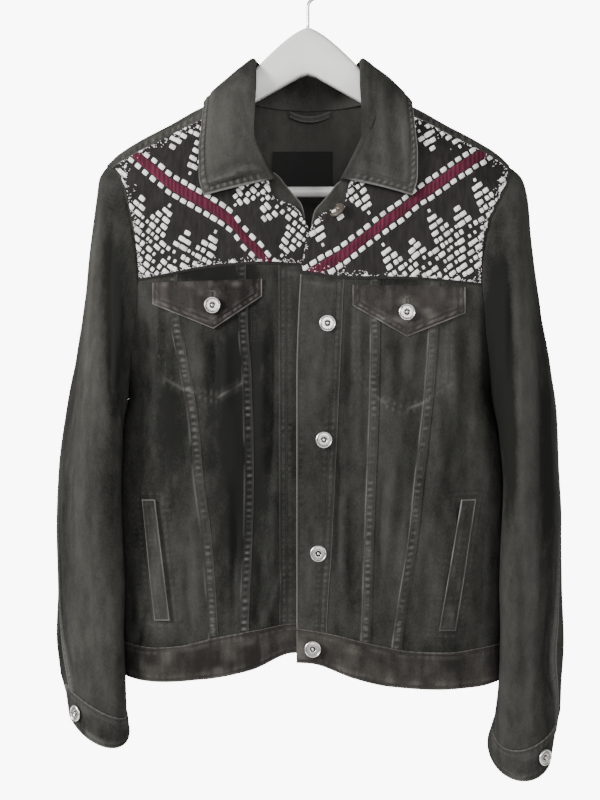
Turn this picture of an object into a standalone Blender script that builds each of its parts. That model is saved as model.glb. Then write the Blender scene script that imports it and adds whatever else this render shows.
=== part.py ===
# Denim jacket buttoned up on a wooden clothes hanger.
#
# The finished model is in metres with +Z up. The front faces -Y, and the wearer's right is at -X.
# The origin is the point inside the hook's bend that rests on the rail.
# All sizes below are in millimetres. A "drop" is a distance below the origin. An "out" is a distance
# from the middle of the jacket towards the side that is being made, and below 0 past the middle.
# A "row" runs across the body: row 0 is the shoulder ridge, 1 the yoke seam, 2 the waistband seam
# and 3 the hem. Rows of the back are counted below 0, so a piece can pass over the ridge.

import math

import bpy
import numpy as np

RIGHT, LEFT = -1, 1
FRONT, BACK = -1, 1
SIDE_NAMES = {RIGHT: "right", LEFT: "left"}

# Cloth
CLOTH = 1.4            # one layer of denim
DOUBLE = 2.4           # two layers with their turnings
SEAM = 0.4             # gap between two pieces at a seam
RESTING = 0.6          # gap under a piece that lies on another

# Colours are linear red, green and blue
BLACK_DENIM = (0.045, 0.045, 0.042)
WOVEN_CLOTH = (0.060, 0.045, 0.045)
SATIN = (0.010, 0.010, 0.010)
STEEL = (0.62, 0.62, 0.60)
WHITE_PAINT = (0.80, 0.80, 0.78)


def table(columns, *rows):
    """A table as one array for each named column."""
    values = np.array(rows, dtype=float)
    return {name: values[:, i] for i, name in enumerate(columns.split())}


def smooth(at, knots, values):
    """A smooth curve through a table's values that never overshoots them."""
    at = np.clip(at, knots[0], knots[-1])
    step = np.diff(knots)
    slope = np.diff(values) / step
    tangent = np.zeros(len(values))
    both = slope[:-1] * slope[1:]
    total = slope[:-1] + slope[1:]
    tangent[1:-1] = np.where(both > 0, 2 * both / np.where(both > 0, total, 1), 0)
    tangent[0], tangent[-1] = slope[0], slope[-1]
    i = np.clip(np.searchsorted(knots, at, side="right") - 1, 0, len(step) - 1)
    u = (at - knots[i]) / step[i]
    return (values[i] * (1 + 2 * u) * (1 - u) ** 2 + values[i + 1] * u * u * (3 - 2 * u)
            + step[i] * (tangent[i] * u * (1 - u) ** 2 - tangent[i + 1] * u * u * (1 - u)))


def ease(value):
    """0 below 0, 1 above 1, and an S curve between."""
    value = np.clip(value, 0, 1)
    return value * value * (3 - 2 * value)


# Body
SHOULDER = table("out drop", (0, 97), (79, 142), (115, 158.2), (142, 173.5), (172, 189.2), (196, 204.6),
                 (208, 216))
SHOULDER_TIP_DROP = 216.0
SHOULDER_ROUND = 60.0      # height over which the ridge rounds into front and back
UNDERARM_DROP = 450.0
SQUARENESS = 3.0           # power of the body's section: 2 is an ellipse, more is flatter
LAP = 3.8                  # how far the right front lies behind the left one
LAP_EDGE = 13.0            # it lies back fully inside this out
LAP_START = 48.0           # and not at all outside this one
LINE_SAMPLES = 80          # points along a row from which evenly spaced ones are taken
EDGE_BRACKET = (150.0, 220.0)
EDGE_HALVINGS = 40

WIDTH = {
    RIGHT: table("drop half", (216, 262), (260, 256), (332, 235), (388, 212), (425, 197), (450, 185),
                 (500, 194), (550, 196), (600, 194), (650, 192), (705, 190.5), (752, 190)),
    LEFT: table("drop half", (216, 264), (260, 258), (332, 238), (388, 215), (425, 200), (450, 188),
                (500, 199), (550, 203), (600, 203), (650, 201), (705, 199.5), (752, 198)),
}
DEPTH = table("drop front back", (140, 32, 32), (216, 38, 37), (332, 47, 44), (450, 52, 50),
              (600, 49, 48), (705, 45, 46), (752, 45, 47))
ARMHOLE = {
    (RIGHT, FRONT): table("drop out", (216, 208), (230, 191), (260, 182), (306, 174), (332, 172),
                          (355, 173), (388, 176), (420, 180.5), (450, 185)),
    (LEFT, FRONT): table("drop out", (216, 208), (240, 200), (276, 183), (302, 177), (336, 175),
                         (355, 176.5), (388, 180), (420, 184), (450, 188)),
    (RIGHT, BACK): table("drop out", (216, 208), (232, 198), (262, 190), (300, 184), (345, 181),
                         (388, 181), (420, 182.5), (450, 185)),
    (LEFT, BACK): table("drop out", (216, 208), (232, 200), (262, 192), (300, 186), (345, 183),
                        (388, 183.5), (420, 185.5), (450, 188)),
}
SEAM_LINES = {
    (RIGHT, FRONT): (
        table("out drop", (-15, 325), (5, 324), (44, 322), (85, 324), (110, 327), (136, 332), (190, 342)),
        table("out drop", (-15, 683), (17, 684), (49, 689), (94, 698), (130, 707), (157, 709), (190, 706)),
        table("out drop", (-15, 713), (16, 714), (57, 730), (107, 741), (149, 744), (169, 743), (190, 740)),
    ),
    (LEFT, FRONT): (
        table("out drop", (-15, 331), (-5, 332), (43, 337), (94, 337), (145, 340), (195, 345)),
        table("out drop", (-18, 687), (23, 694), (65, 704), (106, 712), (144, 713), (200, 707)),
        table("out drop", (-18, 723), (2, 724), (44, 738), (86, 748), (128, 751), (169, 750), (200, 745)),
    ),
    (RIGHT, BACK): (
        table("out drop", (0, 288), (100, 290), (190, 298)),
        table("out drop", (0, 690), (100, 703), (190, 706)),
        table("out drop", (0, 722), (100, 737), (190, 740)),
    ),
    (LEFT, BACK): (
        table("out drop", (0, 288), (100, 290), (195, 298)),
        table("out drop", (0, 690), (100, 703), (200, 707)),
        table("out drop", (0, 722), (100, 740), (200, 745)),
    ),
}

# Large soft folds: where each starts and ends, its half width and how far it stands out
FOLDS = {
    (RIGHT, FRONT): table("out_top drop_top out_end drop_end width height",
                          (150, 400, 120, 560, 20, 4.0), (78, 400, 80, 640, 17, 3.0),
                          (160, 590, 165, 760, 16, 3.5), (30, 560, 70, 760, 22, 4.0),
                          (120, 620, 112, 760, 14, -2.5)),
    (LEFT, FRONT): table("out_top drop_top out_end drop_end width height",
                         (155, 390, 125, 600, 20, 4.0), (90, 400, 75, 650, 17, 3.0),
                         (150, 600, 140, 760, 18, 3.5), (40, 600, 60, 760, 20, 4.0),
                         (172, 470, 168, 700, 13, -3.5)),
    (RIGHT, BACK): table("out_top drop_top out_end drop_end width height",
                         (140, 320, 90, 660, 24, 4.5), (40, 380, 30, 740, 26, 3.0)),
    (LEFT, BACK): table("out_top drop_top out_end drop_end width height",
                        (135, 330, 100, 640, 24, 4.0), (20, 420, 45, 740, 26, -3.0)),
}


def shoulder_drop(out):
    """Drop of the shoulder ridge."""
    return smooth(np.abs(out), SHOULDER["out"], SHOULDER["drop"])


def fold_height(side, face, out, drop):
    """How far the large folds stand out at a point of the body."""
    total = np.zeros_like(np.asarray(out, dtype=float) + drop)
    folds = FOLDS[side, face]
    for i in range(len(folds["width"])):
        along = (drop - folds["drop_top"][i]) / (folds["drop_end"][i] - folds["drop_top"][i])
        middle = folds["out_top"][i] + (folds["out_end"][i] - folds["out_top"][i]) * along
        profile = np.exp(-((out - middle) / folds["width"][i]) ** 2)
        total = total + folds["height"][i] * profile * ease(along * 3) * ease((1.25 - along) * 3)
    return total


def body(side, face, out, drop):
    """Points on the outer face of the jacket's body, from their out and drop."""
    out, drop = np.broadcast_arrays(np.asarray(out, dtype=float), np.asarray(drop, dtype=float))
    below = np.clip((drop - shoulder_drop(out)) / SHOULDER_ROUND, 0, 1)
    rise = np.sqrt(1 - (1 - below) ** 2)
    across = np.clip(np.abs(out) / smooth(drop, WIDTH[side]["drop"], WIDTH[side]["half"]), 0, 1)
    turn = (1 - across ** SQUARENESS) ** (1 / SQUARENESS)
    depth = smooth(drop, DEPTH["drop"], DEPTH["front" if face == FRONT else "back"])
    y = face * (depth + fold_height(side, face, out, drop)) * rise * turn
    if (side, face) == (RIGHT, FRONT):
        y = y + LAP * ease((LAP_START - out) / (LAP_START - LAP_EDGE)) * ease(rise)
    return np.stack([side * out, y, -drop], axis=-1)


def body_normal(side, face, out, drop):
    """Unit directions out of the body's outer face."""
    near = 0.05
    out, drop = np.broadcast_arrays(np.asarray(out, dtype=float), np.asarray(drop, dtype=float))
    half = smooth(drop, WIDTH[side]["drop"], WIDTH[side]["half"])
    wider, higher = np.minimum(out + near, half), np.maximum(drop - near, shoulder_drop(out))
    sideways = body(side, face, wider, drop) - body(side, face, out - near, drop)
    downwards = body(side, face, out, drop + near) - body(side, face, out, higher)
    normal = np.cross(sideways, downwards) * side * face
    return normal / np.linalg.norm(normal, axis=-1, keepdims=True)


def row_drop(side, face, out, row):
    """Drop of a row at an out; rows between the seams are spaced evenly."""
    lines = [shoulder_drop(out)] + [smooth(out, line["out"], line["drop"]) for line in SEAM_LINES[side, face]]
    i = min(int(row), 2)
    return lines[i] * (1 - (row - i)) + lines[i + 1] * (row - i)


def edge_out(side, face, row):
    """Out of the armhole or the side seam at a row."""
    low, high = EDGE_BRACKET
    for _ in range(EDGE_HALVINGS):
        middle = (low + high) / 2
        drop = row_drop(side, face, middle, row)
        if drop < UNDERARM_DROP:
            edge = smooth(drop, ARMHOLE[side, face]["drop"], ARMHOLE[side, face]["out"])
        else:
            edge = smooth(drop, WIDTH[side]["drop"], WIDTH[side]["half"])
        if middle < edge:
            low = middle
        else:
            high = middle
    return low


def underarm_row(side, face):
    """Row whose outer end is the underarm point."""
    out = ARMHOLE[side, face]["out"][-1]
    yoke, waist = row_drop(side, face, out, 1.0), row_drop(side, face, out, 2.0)
    return 1 + (UNDERARM_DROP - yoke) / (waist - yoke)


def row_points(side, row, inner, outer, columns):
    """Evenly spaced points across the body along a row, stopping half a seam short of both ends,
    with the directions out of the body there: columns of x, y, z and of the direction's x, y, z."""
    face = FRONT if row >= 0 else BACK
    half = smooth(row_drop(side, face, outer, abs(row)), WIDTH[side]["drop"], WIDTH[side]["half"])
    angles = np.linspace(math.asin(inner / half), math.asin(min(outer / half, 1)), LINE_SAMPLES)
    outs = half * np.sin(angles)
    points = body(side, face, outs, row_drop(side, face, outs, abs(row)))
    length = np.concatenate([[0], np.cumsum(np.linalg.norm(np.diff(points, axis=0), axis=1))])
    wanted = np.linspace(SEAM / 2, length[-1] - SEAM / 2, columns + 1)
    outs = np.interp(wanted, length, outs)
    drops = row_drop(side, face, outs, abs(row))
    return np.hstack([body(side, face, outs, drops), body_normal(side, face, outs, drops)])


def shortened(rows, height):
    """The rows of a panel with half a seam taken off at its top and bottom."""
    rows = np.array(rows, dtype=float)
    trim = math.copysign(SEAM / 2 / height, rows[-1] - rows[0])
    rows[0] += trim
    rows[-1] -= trim
    return rows


def grid_faces(rows, columns):
    """Four-cornered faces of a grid of points."""
    return [(i * columns + j, i * columns + j + 1, (i + 1) * columns + j + 1, (i + 1) * columns + j)
            for i in range(rows - 1) for j in range(columns - 1)]


def material(name, colour, roughness, metallic=0.0):
    """A plain material with the piece's colour."""
    found = bpy.data.materials.get(name)
    if found:
        return found
    made = bpy.data.materials.new(name)
    made.use_nodes = True
    shader = made.node_tree.nodes["Principled BSDF"]
    shader.inputs["Base Color"].default_value = (*colour, 1)
    shader.inputs["Roughness"].default_value = roughness
    shader.inputs["Metallic"].default_value = metallic
    return made


def add_object(name, mesh_points, faces, finish):
    """A smooth-shaded object from points in millimetres."""
    mesh = bpy.data.meshes.new(name)
    mesh.from_pydata((np.asarray(mesh_points) / 1000).tolist(), [], faces)
    mesh.shade_smooth()
    mesh.set_sharp_from_angle(angle=math.radians(50))
    mesh.materials.append(finish)
    made = bpy.data.objects.new(name, mesh)
    bpy.context.scene.collection.objects.link(made)
    return made


def wall(name, points, normals, faces, finish, thickness=CLOTH, lift=0.0):
    """A closed wall of cloth. Its outer face is the points moved out by lift along the normals, and
    its inner face lies one thickness behind."""
    points, normals = np.asarray(points, dtype=float), np.asarray(normals, dtype=float)
    a, b, c = (points[[face[i] for face in faces]] for i in range(3))
    turned = np.sum(np.cross(b - a, c - b) * normals[[face[0] for face in faces]]) < 0
    faces = [tuple(reversed(face)) if turned else tuple(face) for face in faces]
    count = len(points)
    edges = [edge for face in faces for edge in zip(face, face[1:] + face[:1])]
    inside = set(edges)
    rim = [(b, a, count + a, count + b) for a, b in edges if (b, a) not in inside]
    behind = [tuple(count + i for i in reversed(face)) for face in faces]
    solid_points = np.concatenate([points + normals * lift, points + normals * (lift - thickness)])
    return add_object(name, solid_points, faces + behind + rim, finish)


def grid_normals(grid, closed=False):
    """Directions square to a grid of points; a closed grid joins up along its lines."""
    down = np.gradient(grid, axis=0)
    if closed:
        across = np.roll(grid, -1, axis=1) - np.roll(grid, 1, axis=1)
    else:
        across = np.gradient(grid, axis=1)
    normals = np.cross(down, across)
    return normals / np.linalg.norm(normals, axis=-1, keepdims=True)


# Fronts
STRIP_ROW = {RIGHT: 0.10, LEFT: 0.075}     # front edge of the back yoke, past the ridge
CREST_ROW = 0.04                           # rows close on each side of the ridge
YOKE_HEIGHT = 170.0
FRONT_HEIGHT = 365.0
BACK_HEIGHT = 410.0
YOKE_ROWS = (0.26, 0.42, 0.57, 0.68, 0.74, 0.82, 1.0)
ARMHOLE_STEPS = 3
PANEL_STEPS = 9
FRONT_EDGE = {
    RIGHT: table("row out", (0, 79), (.09, 75), (.22, 67), (.35, 57), (.48, 47), (.57, 40), (.67, 34),
                 (.70, 20), (.74, 10), (.80, 2), (.86, -3), (1, -7), (3, -7)),
    LEFT: table("row out", (0, 79), (.09, 75), (.22, 67), (.35, 57), (.48, 47), (.57, 40), (.67, 34),
                (.70, 20), (.74, 10), (.80, 2), (.86, -3), (1, -8), (1.3, -12), (3, -12)),
}
FACING_EDGE = table("row out", (.54, 34), (.57, 28), (.60, 24), (.66, 15), (.72, 6), (.78, 3))
FACING_TUCK = 16.0         # least width of the facing, most of it behind the yoke
FACING_SPREAD = 90.0       # how much wider it is one row up
FACING_GAP = 0.96          # between the yoke and the facing behind it
BAND_SEAM = {
    RIGHT: table("row out", (1, 30), (3, 28)),
    LEFT: table("row out", (1, 36), (1.6, 26.5), (1.77, 23.5), (2, 19), (3, 19)),
}
INNER_SEAM = {
    RIGHT: table("row out", (1, 67), (1.16, 65.3), (1.32, 61.2), (1.58, 59.2), (2, 64.5)),
    LEFT: table("row out", (1, 68), (1.31, 66.3), (1.56, 63.2), (2, 57.5)),
}
OUTER_SEAM = {
    RIGHT: table("row out", (1, 137), (1.11, 134.6), (1.26, 124.4), (1.4, 115.3), (1.55, 110.2),
                 (1.75, 101), (2, 95)),
    LEFT: table("row out", (1, 128), (1.14, 125.5), (1.3, 121.4), (1.52, 112.2), (1.68, 106),
                (1.87, 94.9), (2, 89)),
}
BACK_SEAM = table("row out", (1, 104), (1.5, 84), (2, 62))
BACK_NECK_ROW = 0.29       # row of the neck seam's lowest point
BACK_NECK = table("row out", (0, 79), (.095, 60), (.2, 34), (BACK_NECK_ROW, 0))
BACK_YOKE_ROWS = (CREST_ROW, .095, .2, BACK_NECK_ROW, .5, .75, 1.0)


def line(seam):
    """Out of a seam at a row."""
    return lambda row: float(smooth(abs(row), seam["row"], seam["out"]))


def panel_rows(side, face):
    """Rows of the panels between yoke and waistband, with one at the underarm."""
    underarm = underarm_row(side, face)
    upper = np.linspace(1, underarm, ARMHOLE_STEPS + 1)
    lower = np.linspace(underarm, 2, PANEL_STEPS + 1)
    return -face * np.concatenate([upper, lower[1:]])


def panel(name, side, rows, inner, outer, columns, finish, thickness=CLOTH, lift=0.0):
    """A wall of cloth on the body, between two seams."""
    points = np.concatenate([row_points(side, row, inner(row), outer(row), columns) for row in rows])
    return wall(name, points[:, :3], points[:, 3:], grid_faces(len(rows), columns + 1), finish,
                thickness, lift)


def side_edge(side):
    """The armhole or side seam as a line."""
    return lambda row: edge_out(side, FRONT if row >= 0 else BACK, abs(row))


def fronts(denim, woven):
    """Yoke, three panels, front band and facing of each front."""
    for side, name in SIDE_NAMES.items():
        yoke_rows = shortened((STRIP_ROW[side],) + YOKE_ROWS, YOKE_HEIGHT)
        panel(f"front_yoke_{name}", side, yoke_rows, line(FRONT_EDGE[side]), side_edge(side), 9, woven)
        rows = shortened(panel_rows(side, FRONT), FRONT_HEIGHT)
        seams = [line(FRONT_EDGE[side]), line(BAND_SEAM[side]), line(INNER_SEAM[side]),
                 line(OUTER_SEAM[side]), side_edge(side)]
        panel(f"front_band_{name}", side, rows, seams[0], seams[1], 2, denim, DOUBLE)
        panel(f"front_centre_{name}", side, rows, seams[1], seams[2], 2, denim)
        panel(f"front_middle_{name}", side, rows, seams[2], seams[3], 3, denim)
        panel(f"front_side_{name}", side, rows, seams[3], seams[4], 5, denim)
        facing(side, f"front_facing_{name}", denim)


def laid_on(name, side, outs, drops, finish, thickness, lift):
    """A wall of cloth that follows the front of the body, from grids of out and drop."""
    points = body(side, FRONT, outs, drops).reshape(-1, 3)
    normals = body_normal(side, FRONT, outs, drops).reshape(-1, 3)
    return wall(name, points, normals, grid_faces(*outs.shape), finish, thickness, lift)


def facing(side, name, denim):
    """The strip of denim inside the front edge that shows in the V of the neck."""
    rows = np.linspace(FACING_EDGE["row"][0], FACING_EDGE["row"][-1], 6)
    inner = np.array([[line(FACING_EDGE)(row)] for row in rows])
    wide = FACING_TUCK + FACING_SPREAD * (rows[-1] - rows)[:, None]
    outs = inner + wide * np.linspace(0, 1, 4)
    drops = np.array([row_drop(side, FRONT, outs[i], row) for i, row in enumerate(rows)])
    laid_on(name, side, outs, drops, denim, CLOTH, -CLOTH - FACING_GAP)


def back(denim):
    """Back yoke over both shoulders, with centre and side panels below it."""
    panel_columns = 8
    halves = []
    for side in (RIGHT, LEFT):
        rows = shortened((STRIP_ROW[side], CREST_ROW, 0.0) + tuple(-row for row in BACK_YOKE_ROWS),
                         YOKE_HEIGHT)
        lines = []
        for row in rows:
            neck = line(FRONT_EDGE[side])(row) if row > 0 else line(BACK_NECK)(row)
            points = row_points(side, row, neck, side_edge(side)(row), panel_columns)
            if neck == 0:
                points[0, 0] = 0.0
                points[0, 3] = 0.0
            lines.append(points)
        halves.append(np.concatenate(lines))
    columns = panel_columns + 1
    row_count = len(BACK_YOKE_ROWS) + 3
    points = np.concatenate(halves)
    faces = grid_faces(row_count, columns)
    faces += [tuple(i + row_count * columns for i in reversed(face)) for face in faces]
    first_joined = 3 + BACK_YOKE_ROWS.index(BACK_NECK_ROW)
    twin = {row_count * columns + i * columns: i * columns for i in range(first_joined, row_count)}
    faces = [tuple(twin.get(i, i) for i in face) for face in faces]
    used = sorted({i for face in faces for i in face})
    new_index = {old: new for new, old in enumerate(used)}
    faces = [tuple(new_index[i] for i in face) for face in faces]
    points = points[used]
    wall("back_yoke", points[:, :3], points[:, 3:], faces, denim)
    for side, name in SIDE_NAMES.items():
        rows = shortened(panel_rows(side, BACK), BACK_HEIGHT)
        panel(f"back_side_{name}", side, rows, line(BACK_SEAM), side_edge(side), 6, denim)
    rows = shortened(panel_rows(RIGHT, BACK), BACK_HEIGHT)
    lines = []
    for row in rows:
        right = row_points(RIGHT, row, 0.0, line(BACK_SEAM)(row), 4)
        left = row_points(LEFT, row, 0.0, line(BACK_SEAM)(row), 4)
        lines.append(np.concatenate([right[:0:-1], mended_middle(right[:1], left[:1]), left[1:]]))
    points = np.concatenate(lines)
    wall("back_centre", points[:, :3], points[:, 3:], grid_faces(len(rows), 9), denim)


def mended_middle(right, left):
    """The point in the middle of the back that both halves share."""
    middle = (right + left) / 2
    middle[:, 0] = 0
    return middle


# Waistband
BAND_LIFT = 0.8
BAND_HEIGHT = 38.0
BAND_THICK = 2.8
BAND_STEPS_FRONT = 11
BAND_STEPS_BACK = 9


def waistband(denim):
    """One band round the hem from the right front's edge, round the back, to the left front's edge."""
    lines = []
    for row in shortened((2.0, 2.5, 3.0), BAND_HEIGHT):
        def half(side, inner, columns, sign):
            return row_points(side, sign * row, inner, edge_out(side, FRONT if sign > 0 else BACK, row),
                              columns)
        right_front = half(RIGHT, line(FRONT_EDGE[RIGHT])(row), BAND_STEPS_FRONT, 1)
        right_back = half(RIGHT, 0.0, BAND_STEPS_BACK, -1)
        left_back = half(LEFT, 0.0, BAND_STEPS_BACK, -1)
        left_front = half(LEFT, line(FRONT_EDGE[LEFT])(row), BAND_STEPS_FRONT, 1)
        lines.append(np.concatenate([right_front[:-1], right_back[:0:-1], left_back[1:],
                                     left_front[-2::-1]]))
    points = np.concatenate(lines)
    faces = grid_faces(3, len(lines[0]))
    wall("waistband", points[:, :3], points[:, 3:], faces, denim, BAND_THICK, BAND_LIFT)


# Sleeves: the line along the outer edge, the line against the body, the half depth, how far a ring
# leans in front of the body, how much lower its front is, and how far the cloth is turned round
SLEEVE_COLUMNS = "outer_out outer_drop inner_out inner_drop depth lean tilt turn"
SLEEVE = {
    RIGHT: table(SLEEVE_COLUMNS,
                 (208.0, 216, 185.6, 450, 46, 0, 0, 0), (216.0, 231, 186.4, 454, 49, 0, 0, 1),
                 (218.6, 248, 187.2, 459, 51, 2, 0, 2), (225.5, 293, 188.5, 468, 55, 8, 0, 5),
                 (234.5, 355, 189.5, 481, 58, 15, 0, 9), (245.7, 417, 190.0, 498, 60, 19, 0, 14),
                 (256.0, 474, 190.5, 518, 60, 22, 0, 20), (263.3, 536, 191.0, 553, 59, 24, 1, 25),
                 (265.0, 593, 189.5, 600, 57, 24, 3, 32), (264.0, 655, 187.5, 657, 53, 24, 6, 40),
                 (264.2, 706, 186.0, 712, 48, 25, 10, 52), (260.0, 750, 185.0, 771, 44, 23, 15, 68)),
    LEFT: table(SLEEVE_COLUMNS,
                (208.0, 216, 188.6, 450, 46, 0, 0, 0), (221.5, 230, 189.4, 454, 49, 0, 0, 2),
                (227.0, 248, 190.4, 459, 51, 2, 0, 4), (233.5, 293, 192.5, 468, 55, 8, 0, 10),
                (243.5, 355, 195.0, 481, 58, 14, 0, 18), (254.5, 417, 196.5, 498, 60, 18, 0, 25),
                (261.7, 474, 198.0, 518, 60, 20, 0, 31), (265.0, 536, 199.5, 553, 59, 21, 1, 38),
                (268.0, 593, 199.0, 600, 57, 21, 3, 46), (268.0, 655, 197.0, 657, 53, 22, 7, 56),
                (269.5, 712, 194.8, 722, 48, 24, 13, 66), (261.5, 774, 191.3, 797, 44, 5, 23, 78)),
}
SLEEVE_RINGS = np.array([0, .5, 1, 1.5, 2, 2.7, 3.5, 4.3, 5.1, 5.9, 6.7, 7.5, 8.3, 9.1, 10, 11])
CAP_FADE = 5.0             # rings over which the armhole's shape turns into an ellipse
ARMHOLE_GAP = 0.9
SLEEVE_SEAM = 0.6          # each edge is this far from the middle of a sleeve seam
INNER_COLUMN = 14          # columns of the two sleeve seams, counted from the shoulder tip forwards
BACK_COLUMN = 19


def sleeve_ring(side, along, angle):
    """Points round a sleeve. Angle 0 is the outer edge, 90 degrees the front, 180 the inner edge."""
    rings = SLEEVE[side]
    knots = np.arange(len(rings["depth"]), dtype=float)
    at = {name: smooth(along, knots, values) for name, values in rings.items()}
    c, s = np.cos(angle), np.sin(angle)
    half = (at["outer_out"] - at["inner_out"]) / 2
    half = np.sign(half) * np.sqrt(np.maximum(half ** 2 - at["lean"] ** 2, 0))
    out = (at["outer_out"] + at["inner_out"]) / 2 + c * half - s * at["lean"]
    drop = (at["outer_drop"] + at["inner_drop"]) / 2 + c * (at["outer_drop"] - at["inner_drop"]) / 2
    return np.stack([side * out, -s * at["depth"], -(drop + s * at["tilt"])], axis=-1)


def armhole_rows(side):
    """Rows at which the body's edge meets the sleeve, from the shoulder tip down the front and up
    the back."""
    front = [0.0, CREST_ROW, STRIP_ROW[side], *YOKE_ROWS, *panel_rows(side, FRONT)[1:ARMHOLE_STEPS + 1]]
    behind = [*reversed(panel_rows(side, BACK)[1:ARMHOLE_STEPS]), *(-row for row in reversed(BACK_YOKE_ROWS))]
    return front + behind


def sleeve_grid(side):
    """Points of a whole sleeve, ring by ring, and the body's outward direction round the armhole."""
    rows = armhole_rows(side)
    steps_front = len(YOKE_ROWS) + 2 + ARMHOLE_STEPS
    edge, edge_normals, angles = [], [], []
    for row in rows:
        face = FRONT if row >= 0 else BACK
        out = edge_out(side, face, abs(row))
        drop = row_drop(side, face, out, abs(row))
        edge.append(body(side, face, out, drop))
        edge_normals.append(body_normal(side, face, out, drop))
        fall = (drop - SHOULDER_TIP_DROP) / (UNDERARM_DROP - SHOULDER_TIP_DROP)
        angle = math.acos(np.clip(1 - 2 * fall, -1, 1))
        angles.append(angle if face == FRONT else 2 * math.pi - angle)
    edge, edge_normals, angles = np.array(edge), np.array(edge_normals), np.array(angles)
    steps_back = len(rows) - steps_front
    even = np.concatenate([np.linspace(0, math.pi, steps_front + 1),
                           np.linspace(math.pi, 2 * math.pi, steps_back + 1)[1:-1]])
    bulge = edge - sleeve_ring(side, 0.0, angles)
    rings = []
    for along in SLEEVE_RINGS:
        blend = min(along / CAP_FADE, 1)
        angle = angles * (1 - blend) + even * blend
        turn = smooth(along, np.arange(len(SLEEVE[side]["turn"]), dtype=float), SLEEVE[side]["turn"])
        ring = sleeve_ring(side, along, angle + math.radians(turn)) + bulge * (1 - ease(blend))
        rings.append(ring)
    return np.array(rings), edge_normals


def sleeves(denim):
    """Top sleeve and under sleeve of each arm, parted by the back seam and the inner seam."""
    for side, name in SIDE_NAMES.items():
        rings, edge_normals = sleeve_grid(side)
        count = rings.shape[1]
        normals = grid_normals(rings, closed=True) * -side
        agreement = np.clip(np.sum(normals[0] * edge_normals, axis=1, keepdims=True), 0, 1)
        normals[0] += edge_normals * agreement
        normals[0] /= np.linalg.norm(normals[0], axis=1)[:, None]
        rings[0] += step(rings[1] - rings[0], ARMHOLE_GAP)
        rings[-1] += step(rings[-2] - rings[-1], SEAM / 2)
        top = [i % count for i in range(BACK_COLUMN, count + INNER_COLUMN + 1)]
        under = list(range(INNER_COLUMN, BACK_COLUMN + 1))
        for piece, columns in (("sleeve_top", top), ("sleeve_under", under)):
            points = rings[:, columns].copy()
            points[:, 0] += step(points[:, 1] - points[:, 0], SLEEVE_SEAM)
            points[:, -1] += step(points[:, -2] - points[:, -1], SLEEVE_SEAM)
            wall(f"{piece}_{name}", points.reshape(-1, 3), normals[:, columns].reshape(-1, 3),
                 grid_faces(len(rings), len(columns)), denim)


def step(direction, length):
    """A step of a given length along each direction."""
    return direction / np.linalg.norm(direction, axis=-1, keepdims=True) * length


# Cuffs
CUFF_COLUMNS = "outer_out outer_drop inner_out inner_drop depth lean tilt"
CUFF = {
    RIGHT: table(CUFF_COLUMNS, (260.2, 751.2, 184.8, 772.2, 44.2, 23, 15), (252, 783, 183, 790, 43, 17, 23)),
    LEFT: table(CUFF_COLUMNS, (261.7, 775.2, 191.1, 798.2, 44.2, 5, 23), (252, 815, 186.8, 819, 43, 0, 26)),
}
CUFF_SHIFT = {RIGHT: 0.0, LEFT: math.radians(28)}      # the left cuff has turned round on its sleeve
CUFF_LIFT = 0.6
CUFF_LAP = 3.4             # the end underneath lies this far inside the end on top
CUFF_START = math.radians(4)
CUFF_END = math.radians(400)
CUFF_LAP_START = math.radians(300)     # where the end underneath begins to step in
CUFF_LAP_TURN = math.radians(60)
CUFF_STEPS = 24
CUFF_BUTTON = math.radians(31)


def cuff_point(side, down, angle):
    """A point on the outer face of a cuff; down is 0 at its seam and 1 at its lower edge."""
    rows = CUFF[side]
    at = {name: values[0] * (1 - down) + values[1] * down for name, values in rows.items()}
    under = CUFF_LAP * ease((angle - CUFF_LAP_START) / CUFF_LAP_TURN)
    c, s = np.cos(angle + CUFF_SHIFT[side]), np.sin(angle + CUFF_SHIFT[side])
    half = math.sqrt(((at["outer_out"] - at["inner_out"]) / 2) ** 2 - at["lean"] ** 2)
    out = (at["outer_out"] + at["inner_out"]) / 2 + c * (half + CUFF_LIFT - under) - s * at["lean"]
    drop = (at["outer_drop"] + at["inner_drop"]) / 2 + c * (at["outer_drop"] - at["inner_drop"]) / 2
    depth = at["depth"] + CUFF_LIFT - under
    return np.stack([side * out, -s * depth, -(drop + s * at["tilt"])], axis=-1)


def cuffs(denim):
    """A band round each wrist whose ends lap at the back seam."""
    angles = np.linspace(CUFF_START, CUFF_END, CUFF_STEPS + 1)
    for side, name in SIDE_NAMES.items():
        points = np.array([cuff_point(side, down, angles) for down in (0.0, 0.5, 1.0)])
        normals = grid_normals(points) * -side
        wall(f"cuff_{name}", points.reshape(-1, 3), normals.reshape(-1, 3), grid_faces(3, len(angles)),
             denim, DOUBLE)


# Collar: its neck seam, its roll line and its outer edge, from the middle of the back to the point
COLLAR = table("along neck_out neck_drop neck_lift roll_out roll_y roll_drop edge_out edge_drop stand_off",
               (0.00, 0, 151.5, -0.7, 0, 35, 114, 0, 181, 6),
               (0.20, 27, 150, -0.7, 27, 33, 113, 45, 180, 6),
               (0.38, 52, 147, -0.3, 44, 24, 111, 84, 174, 6),
               (0.52, 71, 144, 0.8, 52.5, 11, 108, 103, 160, 5),
               (0.60, 78.3, 142, 2.2, 55.5, 0, 106, 104.5, 153.7, 4.5),
               (0.68, 74.2, 157, 2.4, 55.5, -13, 118, 105.5, 163, 4.5),
               (0.77, 66.5, 176, 2.4, 55.5, -26, 146, 108, 187, 5),
               (0.86, 58.8, 193, 3.0, 56.5, -38, 186, 110.5, 212, 5),
               (0.93, 48, 214, 3.0, 46, -42, 212, 110, 234, 5),
               (1.00, 37, 238, 3.0, 33.5, -44, 236, 105, 253, 5))
NECK_GAP = 0.9
COLLAR_THICK = 2.2
SHOULDER_ALONG = 0.599
COLLAR_ROLL = 2.6          # radius of the fold along the roll line
COLLAR_STEPS = 13
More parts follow.
